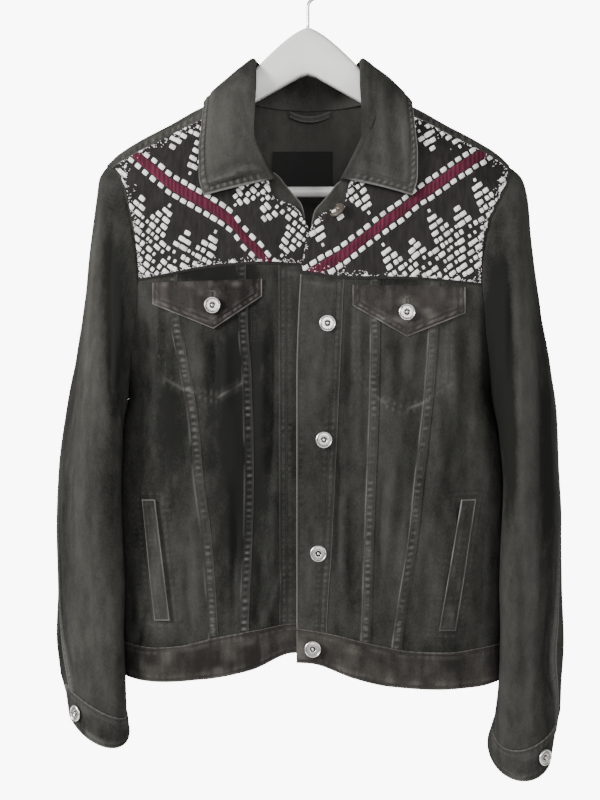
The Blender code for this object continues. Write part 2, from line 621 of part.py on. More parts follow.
COLLAR_FOLD_ANGLES = (180, 120, 60, 0)
LEAF_SWELL = 9.0           # how far the leaf bows out between roll and edge
LEAF_PARTS = (.2, .45, .7, 1.0)


def collar_section(side, along):
    """Points across the collar, from its neck seam over the roll line to its outer edge."""
    at = {name: float(smooth(along, COLLAR["along"], values)) for name, values in COLLAR.items()}
    face = BACK if along < SHOULDER_ALONG else FRONT
    neck = body(side, face, at["neck_out"], at["neck_drop"])
    neck = neck + body_normal(side, face, at["neck_out"], at["neck_drop"]) * at["neck_lift"]
    neck[2] += NECK_GAP
    roll = np.array([side * at["roll_out"], at["roll_y"], -at["roll_drop"]])
    edge = body(side, face, at["edge_out"], at["edge_drop"])
    edge = edge + body_normal(side, face, at["edge_out"], at["edge_drop"]) * at["stand_off"]
    up = (roll - neck) / np.linalg.norm(roll - neck)
    fall = (edge - roll) / np.linalg.norm(edge - roll)
    over = fall - np.dot(fall, up) * up
    over /= np.linalg.norm(over)
    fold = [roll + COLLAR_ROLL * (math.cos(a) * over + (math.sin(a) - 1) * up)
            for a in map(math.radians, COLLAR_FOLD_ANGLES)]
    stand = [neck, (neck + fold[0]) / 2]
    swell = np.cross(np.cross(fall, over), fall)
    leaf = [fold[-1] + (edge - fold[-1]) * t + swell * LEAF_SWELL * t * (1 - t) for t in LEAF_PARTS]
    return np.array(stand + fold + leaf)


def collar(denim):
    """The folded collar with its stand, one piece from point to point."""
    alongs = np.linspace(0, 1, COLLAR_STEPS + 1)
    right = [collar_section(RIGHT, along) for along in alongs]
    left = [collar_section(LEFT, along) for along in alongs]
    sections = np.array(right[::-1] + left[1:])
    points = sections.reshape(-1, 3)
    faces = grid_faces(len(sections), sections.shape[1])
    normals = grid_normals(sections)
    wall("collar", points, normals.reshape(-1, 3), faces, denim, COLLAR_THICK, COLLAR_THICK / 2)


# Pockets
FLAP = {
    RIGHT: table("out top bottom", (46.5, 337, 354.5), (95, 338.5, 387), (156.5, 340.5, 362)),
    LEFT: table("out top bottom", (44.7, 343, 363.6), (99, 343.7, 395), (158, 345, 371)),
}
FLAP_THICK = 2.0
WELT = {
    RIGHT: table("drop inner outer", (559, 154, 167.3), (681, 139.7, 155)),
    LEFT: table("drop inner outer", (559, 154, 169), (691, 132, 148)),
}
WELT_THICK = 1.8
WELT_GAP = 0.9             # more than RESTING, as the cloth under it is curved the other way


def pockets(denim):
    """A pointed flap on each chest and a slanted welt at each side."""
    for side, name in SIDE_NAMES.items():
        flap = FLAP[side]
        across = np.concatenate([np.linspace(flap["out"][0], flap["out"][1], 4),
                                 np.linspace(flap["out"][1], flap["out"][2], 4)[1:]])
        down = np.linspace(0, 1, 4)[:, None]
        top = np.interp(across, flap["out"], flap["top"])
        bottom = np.interp(across, flap["out"], flap["bottom"])
        laid_on(f"pocket_flap_{name}", side, across + 0 * down, top + (bottom - top) * down, denim,
                FLAP_THICK, FLAP_THICK + RESTING)
        welt = WELT[side]
        drops = np.linspace(welt["drop"][0], welt["drop"][1], 7)[:, None]
        inner = np.interp(drops, welt["drop"], welt["inner"])
        outer = np.interp(drops, welt["drop"], welt["outer"])
        outs = inner + (outer - inner) * np.linspace(0, 1, 3)
        laid_on(f"pocket_welt_{name}", side, outs, drops + 0 * outs, denim, WELT_THICK,
                WELT_THICK + WELT_GAP)


# Buttons
BUTTON_RADIUS = 8.5
BUTTON_PROFILE = table("radius height", (2.0, 2.9), (2.7, 2.1), (6.6, 2.0), (7.7, 2.9), (8.5, 1.9),
                       (8.0, 0.0))
BUTTON_SIDES = 14
FRONT_BUTTONS = table("out drop lift", (30, 268, 0), (19.4, 381.5, 0), (15.8, 498.3, 0), (10.2, 612.5, 0),
                      (4.6, 709, BAND_LIFT))
FLAP_BUTTONS = {RIGHT: (95.9, 363.5), LEFT: (98.9, 370.5)}


def button(name, seat, normal, steel):
    """A round tack button that stands on its seat along a normal."""
    normal = normal / np.linalg.norm(normal)
    side_way = np.cross(normal, [0.0, 0.3, 1.0])
    side_way /= np.linalg.norm(side_way)
    other = np.cross(normal, side_way)
    turns = np.arange(BUTTON_SIDES) * 2 * math.pi / BUTTON_SIDES
    circle = np.cos(turns)[:, None] * side_way + np.sin(turns)[:, None] * other
    rings = [seat + normal * height + circle * radius
             for radius, height in zip(BUTTON_PROFILE["radius"], BUTTON_PROFILE["height"])]
    n = BUTTON_SIDES
    faces = [tuple(range(n))]
    for i in range(len(rings) - 1):
        faces += [(i * n + j, (i + 1) * n + j, (i + 1) * n + (j + 1) % n, i * n + (j + 1) % n)
                  for j in range(n)]
    faces.append(tuple((len(rings) - 1) * n + j for j in reversed(range(n))))
    if np.dot(np.cross(side_way, other), normal) < 0:
        faces = [tuple(reversed(face)) for face in faces]
    add_object(name, np.concatenate(rings), faces, steel)


def body_seat(side, out, drop, lift):
    """A point above the front of the body, and the direction out of it."""
    here, beside, below = (body(side, FRONT, out + a, drop + b) for a, b in ((0, 0), (6, 0), (0, 6)))
    normal = np.cross(beside - here, below - here)
    normal *= -np.sign(normal[1]) / np.linalg.norm(normal)
    return here + normal * lift, normal


def buttons(steel):
    """Five on the left front, one on each flap and one on each cuff."""
    for i, (out, drop, lift) in enumerate(zip(*FRONT_BUTTONS.values())):
        seat, normal = body_seat(LEFT, out, drop, lift + RESTING)
        button(f"button_front_{i + 1}", seat, normal, steel)
    for side, name in SIDE_NAMES.items():
        seat, normal = body_seat(side, *FLAP_BUTTONS[side], RESTING + FLAP_THICK + RESTING)
        button(f"button_flap_{name}", seat, normal, steel)
        here, beside, below = (cuff_point(side, 0.5 + b, CUFF_BUTTON + a)
                               for a, b in ((0, 0), (.1, 0), (0, .1)))
        normal = np.cross(beside - here, below - here)
        normal *= side * np.sign(normal[0]) / np.linalg.norm(normal)
        button(f"button_cuff_{name}", here + normal * RESTING, normal, steel)


# Neck label and hanging loop, inside the back yoke
LABEL_THICK = 1.0
LABEL_X = (-37.0, 26.5)
LABEL_DROP = (196.0, 234.0)
LOOP_X = (-19.0, 23.0)
LOOP_DROP = 154.0
LOOP_SAG = 6.0
LOOP_WIDTH = 6.0
LOOP_THICK = 1.4
INSIDE_GAP = 0.9


def inside_back(xs, drops):
    """Points on the inside of the back yoke, from x and drop."""
    points = [body(RIGHT if x < 0 else LEFT, BACK, abs(x), drop) for x, drop in zip(xs, drops)]
    return np.array(points) - np.array([0, CLOTH + INSIDE_GAP, 0])


def neck_trim(denim, satin):
    """The bare label and the loop that hangs under the neck seam."""
    xs, drops = np.meshgrid(np.linspace(*LABEL_X, 5), np.linspace(*LABEL_DROP, 4))
    points = inside_back(xs.ravel(), drops.ravel())
    towards = np.array([0, -1.0, 0])
    wall("neck_label", points, np.tile(towards, (len(points), 1)), grid_faces(*xs.shape), satin,
         LABEL_THICK, LABEL_THICK)
    xs, widths = np.meshgrid(np.linspace(*LOOP_X, 7), np.linspace(0, LOOP_WIDTH, 3))
    middle = (LOOP_X[0] + LOOP_X[1]) / 2
    bow = 1 - ((xs - middle) / (LOOP_X[1] - middle)) ** 2
    points = inside_back(xs.ravel(), (LOOP_DROP + LOOP_SAG * bow + widths).ravel())
    points[:, 1] -= 3.0 * bow.ravel()
    wall("hanging_loop", points, np.tile(towards, (len(points), 1)), grid_faces(*xs.shape), denim,
         LOOP_THICK, LOOP_THICK)


# Hanger
ARM_HALF_THICK = 6.5
ARM_CROWN = 1.2            # height of the round crown for each unit of its half width
ARM_CROWN_ANGLES = (8, 40, 90, 140, 172)
ARM_CHAMFER = 3.0          # corners taken off along the lower edges
ARM_REACH = 188.0
ARM_UNDER_CLOTH = CLOTH + 0.8
ARM_TOP = table("out drop", (0, 72), (12, 78), (48, 109), (72, 138))
ARM_BOTTOM = table("out drop", (0, 121.7), (8, 124), (55, 150.5), (110, 181), (150, 208), (165, 225),
                   (165.5, 254), (ARM_REACH, 254))
ARM_STATIONS = (0, 6, 12, 24, 36, 48, 60, 72, 79, 88, 100, 116, 132, 150, 165, 165.5, 172, 180, ARM_REACH)
BAR_RADIUS = 5.5
BAR_DROP = 243.0
BAR_HALF_LENGTH = 165.0
HOOK_RADIUS = 21.0
WIRE_RADIUS = 1.7
WIRE_SIDES = 8
SHANK_FILLET = 9.0
SHANK_MIDDLE = 60.0        # drop of a point halfway up the straight shank
HOOK_END = math.radians(205)


def arm_section(x):
    """The arms' cross-section: flat sides under a round crown."""
    if abs(x) <= ARM_TOP["out"][-1]:
        top = float(np.interp(abs(x), ARM_TOP["out"], ARM_TOP["drop"]))
    else:
        top = float(shoulder_drop(x)) + ARM_UNDER_CLOTH
    bottom = float(np.interp(abs(x), ARM_BOTTOM["out"], ARM_BOTTOM["drop"]))
    half = ARM_HALF_THICK
    crown = [(half * math.cos(a), top + half * (1 - math.sin(a)) * ARM_CROWN)
             for a in map(math.radians, ARM_CROWN_ANGLES)]
    flat = half - ARM_CHAMFER
    foot = [(-half, bottom - ARM_CHAMFER), (-flat, bottom), (flat, bottom), (half, bottom - ARM_CHAMFER)]
    return [(x, y, -drop) for y, drop in crown + foot]


def hanger(paint, steel):
    """Bent wooden arms, a round bar between their ends and a wire hook."""
    stations = [-out for out in reversed(ARM_STATIONS[1:])] + list(ARM_STATIONS)
    sections = [arm_section(x) for x in stations]
    n = len(sections[0])
    points = [point for section in sections for point in section]
    faces = [(i * n + j, i * n + (j + 1) % n, (i + 1) * n + (j + 1) % n, (i + 1) * n + j)
             for i in range(len(sections) - 1) for j in range(n)]
    faces.append(tuple(reversed(range(n))))
    faces.append(tuple((len(sections) - 1) * n + j for j in range(n)))
    add_object("hanger_arms", points, faces, paint)
    ends = [np.array([x, 0, -BAR_DROP]) for x in (-BAR_HALF_LENGTH + SEAM, BAR_HALF_LENGTH - SEAM)]
    tube("hanger_bar", ends, BAR_RADIUS, 12, np.array([0, 0, 1.0]), paint)
    tube("hanger_hook", hook_path(), WIRE_RADIUS, WIRE_SIDES, np.array([0, 1.0, 0]), steel)


def hook_path():
    """Centre of the hook's wire: up from the hub, through a small bend and round the rail."""
    radius = HOOK_RADIUS + WIRE_RADIUS
    centre = np.array([0, 0, -HOOK_RADIUS])
    reach = radius + SHANK_FILLET
    side = math.acos(SHANK_FILLET / reach)
    fillet = centre + np.array([SHANK_FILLET, 0, -reach * math.sin(side)])
    shank = [np.array([0, 0, -(ARM_TOP["drop"][0] - SEAM)]), np.array([0, 0, -SHANK_MIDDLE])]
    bend = [fillet + SHANK_FILLET * np.array([-math.cos(a), 0, math.sin(a)])
            for a in np.linspace(0, side, 5)]
    start = math.atan2(-reach * math.sin(side), SHANK_FILLET)
    arc = [centre + radius * np.array([math.cos(a), 0, math.sin(a)])
           for a in np.linspace(start, HOOK_END, 22)[1:]]
    return shank + bend + arc


def tube(name, path, radius, sides, flat, finish):
    """A round bar along a path that stays square to the direction flat."""
    path = np.array(path)
    ahead = np.gradient(path, axis=0)
    ahead /= np.linalg.norm(ahead, axis=1)[:, None]
    across = np.cross(ahead, flat)
    turns = np.arange(sides) * 2 * math.pi / sides
    rings = (path[:, None] + radius * (np.cos(turns)[None, :, None] * across[:, None]
                                       + np.sin(turns)[None, :, None] * flat))
    points = rings.reshape(-1, 3)
    faces = [(i * sides + j, i * sides + (j + 1) % sides, (i + 1) * sides + (j + 1) % sides,
              (i + 1) * sides + j) for i in range(len(path) - 1) for j in range(sides)]
    faces.append(tuple(reversed(range(sides))))
    faces.append(tuple((len(path) - 1) * sides + j for j in range(sides)))
    if np.dot(np.cross(across[0], flat), ahead[0]) < 0:
        faces = [tuple(reversed(face)) for face in faces]
    add_object(name, points, faces, finish)


def build():
    """Clears the scene and makes every piece."""
    for old in list(bpy.data.objects):
        bpy.data.objects.remove(old, do_unlink=True)
    denim = material("black_denim", BLACK_DENIM, 0.85)
    woven = material("woven_cloth", WOVEN_CLOTH, 0.9)
    satin = material("label_satin", SATIN, 0.6)
    steel = material("steel", STEEL, 0.3, 1.0)
    paint = material("white_paint", WHITE_PAINT, 0.35)
    fronts(denim, woven)
    back(denim)
    waistband(denim)
    sleeves(denim)
    cuffs(denim)
    collar(denim)
    pockets(denim)
    buttons(steel)
    neck_trim(denim, satin)
    hanger(paint, steel)


build()
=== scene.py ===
# A black denim jacket with a woven yoke, buttoned up on a white wooden clothes hanger.
# Metres in the finished model, millimetres in the tables. The front faces -Y, +Z is up, and the origin is
# the point inside the hook that rests on the rail. A "drop" is a distance below it, and an "out" a
# distance from the middle of the jacket towards the side that is being made.

import math

import bpy
import numpy as np
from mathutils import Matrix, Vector


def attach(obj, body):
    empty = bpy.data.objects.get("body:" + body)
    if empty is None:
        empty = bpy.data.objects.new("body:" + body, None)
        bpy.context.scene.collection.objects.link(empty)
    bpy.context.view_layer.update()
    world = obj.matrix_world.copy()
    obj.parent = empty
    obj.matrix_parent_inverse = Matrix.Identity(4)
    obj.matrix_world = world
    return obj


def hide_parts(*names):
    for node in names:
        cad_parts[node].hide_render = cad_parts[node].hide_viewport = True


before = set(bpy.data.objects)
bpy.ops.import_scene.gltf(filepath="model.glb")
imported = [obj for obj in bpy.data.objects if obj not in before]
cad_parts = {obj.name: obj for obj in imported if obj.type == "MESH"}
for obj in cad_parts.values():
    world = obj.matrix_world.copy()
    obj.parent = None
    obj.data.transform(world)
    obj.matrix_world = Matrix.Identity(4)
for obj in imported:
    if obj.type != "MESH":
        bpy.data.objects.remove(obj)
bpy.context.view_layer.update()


# Hanger
# Two bent arms with a hub are cut from wood, a round bar is pressed between their ends, and both are
# painted white. The chromed wire hook is screwed into the hub.

class Socket:
    """One output of a shader node. Arithmetic on it adds the Math nodes that it needs."""

    def __init__(self, finish, link):
        self.finish, self.link = finish, link

    def maths(self, operation, *values):
        return self.finish.node("ShaderNodeMath", {"operation": operation}, dict(enumerate(values)))

    def __add__(self, other):
        return self.maths("ADD", self, other)

    def __sub__(self, other):
        return self.maths("SUBTRACT", self, other)

    def __rsub__(self, other):
        return self.maths("SUBTRACT", other, self)

    def __mul__(self, other):
        return self.maths("MULTIPLY", self, other)

    def clipped(self):
        return self.finish.node("ShaderNodeClamp", {}, {"Value": self})

    __radd__ = __add__
    __rmul__ = __mul__


class Finish:
    """A material that is put together from nodes."""

    def __init__(self, name, **fixed):
        self.material = bpy.data.materials.new(name)
        self.material.use_nodes = True
        self.tree = self.material.node_tree
        self.shader = self.tree.nodes["Principled BSDF"]
        for socket, value in fixed.items():
            self.shader.inputs[socket.replace("_", " ").title().replace("Ior", "IOR")].default_value = value

    def node(self, kind, settings, sockets, output=0):
        """Any node: its type, its settings, and the values or links of its sockets."""
        made = self.tree.nodes.new(kind)
        for setting, value in settings.items():
            setattr(made, setting, value)
        for socket, value in sockets.items():
            if isinstance(value, Socket):
                self.tree.links.new(value.link, made.inputs[socket])
            else:
                made.inputs[socket].default_value = value
        return Socket(self, made.outputs[output])

    def place(self, stretch=(1, 1, 1)):
        """The place on the object in metres, stretched along its axes."""
        here = self.node("ShaderNodeTexCoord", {}, {}, "Object")
        return self.node("ShaderNodeVectorMath", {"operation": "MULTIPLY"}, {0: here, 1: stretch})

    def noise(self, scale, detail=2.0, roughness=0.5, stretch=(1, 1, 1)):
        """Soft noise; scale is in blots to the metre."""
        return self.node("ShaderNodeTexNoise", {}, {"Vector": self.place(stretch), "Scale": scale,
                                                    "Detail": detail, "Roughness": roughness})

    def marked(self, name):
        """A value that was stored at the mesh's points."""
        return self.node("ShaderNodeAttribute", {"attribute_name": name}, {}, "Fac")

    def mixed(self, amount, first, second):
        """A colour between two others."""
        return self.node("ShaderNodeMix", {"data_type": "RGBA"}, {0: amount, 6: first, 7: second}, 2)

    def shows(self, colour, roughness=None, height=None, relief=0.0):
        """Links a colour, a roughness and a height in metres into the surface."""
        self.tree.links.new(colour.link, self.shader.inputs["Base Color"])
        if roughness is not None:
            self.tree.links.new(roughness.link, self.shader.inputs["Roughness"])
        if height is not None:
            bumped = self.node("ShaderNodeBump", {}, {"Strength": 1.0, "Distance": relief, "Height": height})
            self.tree.links.new(bumped.link, self.shader.inputs["Normal"])


def table(columns, *rows):
    """A table as one array for each named column."""
    values = np.array(rows, dtype=float)
    return {name: values[:, i] for i, name in enumerate(columns.split())}


def smooth(at, knots, values):
    """A smooth curve through a table's values that never overshoots them."""
    at = np.clip(at, knots[0], knots[-1])
    step = np.diff(knots)
    slope = np.diff(values) / step
    tangent = np.zeros(len(values))
    both = slope[:-1] * slope[1:]
    total = slope[:-1] + slope[1:]
    tangent[1:-1] = np.where(both > 0, 2 * both / np.where(both > 0, total, 1), 0)
    tangent[0], tangent[-1] = slope[0], slope[-1]
    i = np.clip(np.searchsorted(knots, at, side="right") - 1, 0, len(step) - 1)
    u = (at - knots[i]) / step[i]
    return (values[i] * (1 + 2 * u) * (1 - u) ** 2 + values[i + 1] * u * u * (3 - 2 * u)
            + step[i] * (tangent[i] * u * (1 - u) ** 2 - tangent[i + 1] * u * u * (1 - u)))


def follow(curve, at):
    """Reads a table of two columns as a smooth curve."""
    return smooth(at, *curve.values())


def unit(vectors):
    """Vectors brought to length 1."""
    return vectors / np.linalg.norm(vectors, axis=-1, keepdims=True)


def grid_faces(rows, columns, closed=False):
    """Four-cornered faces of a grid of points; a closed grid joins its last column to its first."""
    i, j = np.meshgrid(np.arange(rows - 1), np.arange(columns - (not closed)), indexing="ij")
    i, j, k = i.ravel(), j.ravel(), (j.ravel() + 1) % columns
    return np.stack([i * columns + j, i * columns + k, (i + 1) * columns + k, (i + 1) * columns + j], axis=1)


def capped_faces(rings, sides):
    """Faces of a row of rings of points, closed at both ends."""
    ends = [range(sides)[::-1], range((rings - 1) * sides, rings * sides)]
    return [tuple(face) for face in (*grid_faces(rings, sides, closed=True), *ends)]


def piece(name, points, faces, finish, nodes=(), marks=None, cloth_uv=None):
    """A smooth-shaded piece from points in millimetres. It rides on the one body and replaces its nodes."""
    mesh = bpy.data.meshes.new(name)
    mesh.from_pydata((np.asarray(points) / 1000).tolist(), [], [list(face) for face in faces])
    mesh.shade_smooth()
    mesh.set_sharp_from_angle(angle=math.radians(48))
    mesh.materials.append(finish.material)
    for mark, values in (marks or {}).items():
        mesh.attributes.new(mark, "FLOAT", "POINT").data.foreach_set("value", values.astype(np.float32))
    if cloth_uv is not None:
        corner = np.empty(len(mesh.loops), dtype=np.int32)
        mesh.loops.foreach_get("vertex_index", corner)
        mesh.uv_layers.new(name="cloth").data.foreach_set("uv", cloth_uv[corner].ravel().astype(np.float32))
    made = bpy.data.objects.new(name, mesh)
    bpy.context.scene.collection.objects.link(made)
    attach(made, "root")
    if nodes:
        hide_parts(*nodes)
    return made


def tube(name, path, radius, sides, flat, finish, nodes=()):
    """A round bar along a path that stays square to the direction flat."""
    path = np.array(path, dtype=float)
    across = np.cross(unit(np.gradient(path, axis=0)), flat)
    turns = np.arange(sides) * 2 * math.pi / sides
    rings = path[:, None] + radius * (np.cos(turns)[None, :, None] * across[:, None]
                                      + np.sin(turns)[None, :, None] * np.array(flat))
    faces = capped_faces(len(path), sides)
    if np.dot(np.cross(across[0], flat), path[1] - path[0]) < 0:
        faces = [tuple(reversed(face)) for face in faces]
    return piece(name, rings.reshape(-1, 3), faces, finish, nodes)


SHOULDER = table("out drop", (0, 97), (79, 142), (115, 158.2), (142, 173.5), (172, 189.2), (196, 204.6),
                 (208, 216))
CLOTH = 1.4
ARM_HALF_THICK = 6.5
ARM_REACH = 188.0
ARM_UNDER_CLOTH = CLOTH + 0.8
ARM_TOP = table("out drop", (0, 72), (12, 78), (48, 109), (72, 138))
ARM_BOTTOM = table("out drop", (0, 121.7), (8, 124), (55, 150.5), (110, 181), (150, 208), (165, 225),
                   (165.5, 254), (ARM_REACH, 254))
ARM_FOOT = ((-6.5, -3), (-5.6, -0.9), (-3.5, 0), (3.5, 0), (5.6, -0.9), (6.5, -3))     # y, lift
BAR_RADIUS = 5.5
BAR_DROP = 243.0
BAR_HALF_LENGTH = 164.6
HOOK_RADIUS = 21.0
WIRE_RADIUS = 1.7
SHANK_FILLET = 9.0
HOOK_END = math.radians(205)
SHANK_DROPS = (71.6, 64, 57)


def shoulder_drop(out):
    """Drop of the shoulder ridge."""
    return smooth(np.abs(out), SHOULDER["out"], SHOULDER["drop"])


white_paint = Finish("white_paint", roughness=0.34, coat_weight=0.25, coat_roughness=0.2)
brushed = white_paint.noise(60, 3, 0.6, (0.15, 1, 1))
white_paint.shows(white_paint.mixed(brushed, (0.74, 0.73, 0.70, 1), (0.86, 0.855, 0.83, 1)),
                  height=brushed, relief=0.0003)
chrome = Finish("chrome", metallic=1.0)
smudged = chrome.noise(240, 2)
chrome.shows(chrome.mixed(smudged, (0.56, 0.56, 0.56, 1), (0.72, 0.72, 0.71, 1)), smudged * 0.16 + 0.12)

turns = np.radians(np.linspace(2, 178, 13))
sections = []
for x in np.unique(np.concatenate([np.linspace(-ARM_REACH, ARM_REACH, 95), [-165.5, -165, 165, 165.5]])):
    if abs(x) <= ARM_TOP["out"][-1]:
        top = float(smooth(abs(x), ARM_TOP["out"], ARM_TOP["drop"]))
    else:
        top = float(shoulder_drop(x)) + ARM_UNDER_CLOTH
    bottom = float(np.interp(abs(x), ARM_BOTTOM["out"], ARM_BOTTOM["drop"]))
    crown = [(ARM_HALF_THICK * math.cos(a), top + ARM_HALF_THICK * (1 - math.sin(a))) for a in turns]
    foot = [(y, bottom + lift) for y, lift in ARM_FOOT]
    sections.append([(x, y, -drop) for y, drop in crown + foot])
sections = np.array(sections)
piece("hanger_arms_painted", sections.reshape(-1, 3), capped_faces(*sections.shape[:2]), white_paint,
      ["hanger_arms"])
bar = [(x, 0, -BAR_DROP) for x in np.linspace(-BAR_HALF_LENGTH, BAR_HALF_LENGTH, 12)]
tube("hanger_bar_painted", bar, BAR_RADIUS, 28, (0, 0, 1.0), white_paint, ["hanger_bar"])

radius = HOOK_RADIUS + WIRE_RADIUS
reach = radius + SHANK_FILLET
turn = math.acos(SHANK_FILLET / reach)
fillet = np.array([SHANK_FILLET, 0, -HOOK_RADIUS - reach * math.sin(turn)])
start = math.atan2(-reach * math.sin(turn), SHANK_FILLET)
hook = [(0, 0, -drop) for drop in SHANK_DROPS]
hook += [fillet + SHANK_FILLET * np.array([-math.cos(a), 0, math.sin(a)]) for a in np.linspace(0, turn, 9)]
hook += [(radius * math.cos(a), 0, radius * math.sin(a) - HOOK_RADIUS)
         for a in np.linspace(start, HOOK_END, 49)[1:]]
tube("hanger_hook_wire", hook, WIRE_RADIUS, 16, (0, 1.0, 0), chrome, ["hanger_hook"])


# Fronts of black denim
# Each front is three panels of washed twill joined by flat felled seams, whose raised strips are sewn
# down with two rows of thread and pucker between them. A chest pocket's bag is sewn behind them.

RIGHT, LEFT = -1, 1            # the wearer's sides
FRONT, BACK = -1, 1
SIDE_NAMES = {RIGHT: "right", LEFT: "left"}
SEAM = 0.4                 # gap between two pieces at a seam
SHOULDER_TIP_DROP = 216.0
SHOULDER_ROUND = 60.0
UNDERARM_DROP = 450.0
SQUARENESS = 3.0
LAP, LAP_EDGE, LAP_START = 3.8, 13.0, 48.0
EDGE_BRACKET = (150.0, 220.0)
EDGE_HALVINGS = 40
WIDTH = {
    RIGHT: table("drop half", (216, 262), (260, 256), (332, 235), (388, 212), (425, 197), (450, 185),
                 (500, 194), (550, 196), (600, 194), (650, 192), (705, 190.5), (752, 190)),
    LEFT: table("drop half", (216, 264), (260, 258), (332, 238), (388, 215), (425, 200), (450, 188),
                (500, 199), (550, 203), (600, 203), (650, 201), (705, 199.5), (752, 198)),
}
DEPTH = table("drop front back", (140, 32, 32), (216, 38, 37), (332, 47, 44), (450, 52, 50),
              (600, 49, 48), (705, 45, 46), (752, 45, 47))
ARMHOLE = {
    (RIGHT, FRONT): table("drop out", (216, 208), (230, 191), (260, 182), (306, 174), (332, 172),
                          (355, 173), (388, 176), (420, 180.5), (450, 185)),
    (LEFT, FRONT): table("drop out", (216, 208), (240, 200), (276, 183), (302, 177), (336, 175),
                         (355, 176.5), (388, 180), (420, 184), (450, 188)),
    (RIGHT, BACK): table("drop out", (216, 208), (232, 198), (262, 190), (300, 184), (345, 181),
                         (388, 181), (420, 182.5), (450, 185)),
    (LEFT, BACK): table("drop out", (216, 208), (232, 200), (262, 192), (300, 186), (345, 183),
                        (388, 183.5), (420, 185.5), (450, 188)),
}
SEAM_LINES = {
    (RIGHT, FRONT): (
        table("out drop", (-15, 325), (5, 324), (44, 322), (85, 324), (110, 327), (136, 332), (190, 342)),
        table("out drop", (-15, 683), (17, 684), (49, 689), (94, 698), (130, 707), (157, 709), (190, 706)),
        table("out drop", (-15, 713), (16, 714), (57, 730), (107, 741), (149, 744), (169, 743), (190, 740)),
    ),
    (LEFT, FRONT): (
        table("out drop", (-15, 331), (-5, 332), (43, 337), (94, 337), (145, 340), (195, 345)),
        table("out drop", (-18, 687), (23, 694), (65, 704), (106, 712), (144, 713), (200, 707)),
        table("out drop", (-18, 723), (2, 724), (44, 738), (86, 748), (128, 751), (169, 750), (200, 745)),
    ),
    (RIGHT, BACK): (
        table("out drop", (0, 288), (100, 290), (190, 298)),
        table("out drop", (0, 690), (100, 703), (190, 706)),
        table("out drop", (0, 722), (100, 737), (190, 740)),
    ),
    (LEFT, BACK): (
        table("out drop", (0, 288), (100, 290), (195, 298)),
        table("out drop", (0, 690), (100, 703), (200, 707)),
        table("out drop", (0, 722), (100, 740), (200, 745)),
    ),
}
FOLD_COLUMNS = "out_top drop_top out_end drop_end width height"
FOLDS = {
    (RIGHT, FRONT): table(FOLD_COLUMNS, (150, 400, 120, 560, 20, 4.0), (78, 400, 80, 640, 17, 3.0),
                          (160, 590, 165, 760, 16, 3.5), (30, 560, 70, 760, 22, 4.0),
                          (120, 620, 112, 760, 14, -2.5)),
    (LEFT, FRONT): table(FOLD_COLUMNS, (155, 390, 125, 600, 20, 4.0), (90, 400, 75, 650, 17, 3.0),
                         (150, 600, 140, 760, 18, 3.5), (40, 600, 60, 760, 20, 4.0),
                         (172, 470, 168, 700, 13, -3.5)),
    (RIGHT, BACK): table(FOLD_COLUMNS, (140, 320, 90, 660, 24, 4.5), (40, 380, 30, 740, 26, 3.0)),
    (LEFT, BACK): table(FOLD_COLUMNS, (135, 330, 100, 640, 24, 4.0), (20, 420, 45, 740, 26, -3.0)),
}
STRIP_ROW = {RIGHT: 0.10, LEFT: 0.075}
FRONT_EDGE = {
    RIGHT: table("row out", (0, 79), (.09, 75), (.22, 67), (.35, 57), (.48, 47), (.57, 40), (.67, 34),
                 (.70, 20), (.74, 10), (.80, 2), (.86, -3), (1, -7), (3, -7)),
    LEFT: table("row out", (0, 79), (.09, 75), (.22, 67), (.35, 57), (.48, 47), (.57, 40), (.67, 34),
                (.70, 20), (.74, 10), (.80, 2), (.86, -3), (1, -8), (1.3, -12), (3, -12)),
}
BAND_SEAM = {
    RIGHT: table("row out", (1, 30), (3, 28)),
    LEFT: table("row out", (1, 36), (1.6, 26.5), (1.77, 23.5), (2, 19), (3, 19)),
}
INNER_SEAM = {
    RIGHT: table("row out", (1, 67), (1.16, 65.3), (1.32, 61.2), (1.58, 59.2), (2, 64.5)),
    LEFT: table("row out", (1, 68), (1.31, 66.3), (1.56, 63.2), (2, 57.5)),
}
OUTER_SEAM = {
    RIGHT: table("row out", (1, 137), (1.11, 134.6), (1.26, 124.4), (1.4, 115.3), (1.55, 110.2),
                 (1.75, 101), (2, 95)),
    LEFT: table("row out", (1, 128), (1.14, 125.5), (1.3, 121.4), (1.52, 112.2), (1.68, 106),
                (1.87, 94.9), (2, 89)),
}
BACK_SEAM = table("row out", (1, 104), (1.5, 84), (2, 62))


def ease(value):
    """0 below 0, 1 above 1, and an S curve between."""
    value = np.clip(value, 0, 1)
    return value * value * (3 - 2 * value)


def hump(away, width):
    """1 at 0 and falling off softly to both sides."""
    return np.exp(-(away / width) ** 2)


def ridges(folds, out, drop, run_on=1.25):
    """How far a table's soft folds stand out at a point; they fade in at their tops and out past their ends."""
    total = np.zeros(np.broadcast_shapes(np.shape(out), np.shape(drop)))
    for i in range(len(folds["width"])):
        along = (drop - folds["drop_top"][i]) / (folds["drop_end"][i] - folds["drop_top"][i])
        middle = folds["out_top"][i] + (folds["out_end"][i] - folds["out_top"][i]) * along
        profile = np.exp(-((out - middle) / folds["width"][i]) ** 2)
        total = total + folds["height"][i] * profile * ease(along * 3) * ease((run_on - along) * 3)
    return total


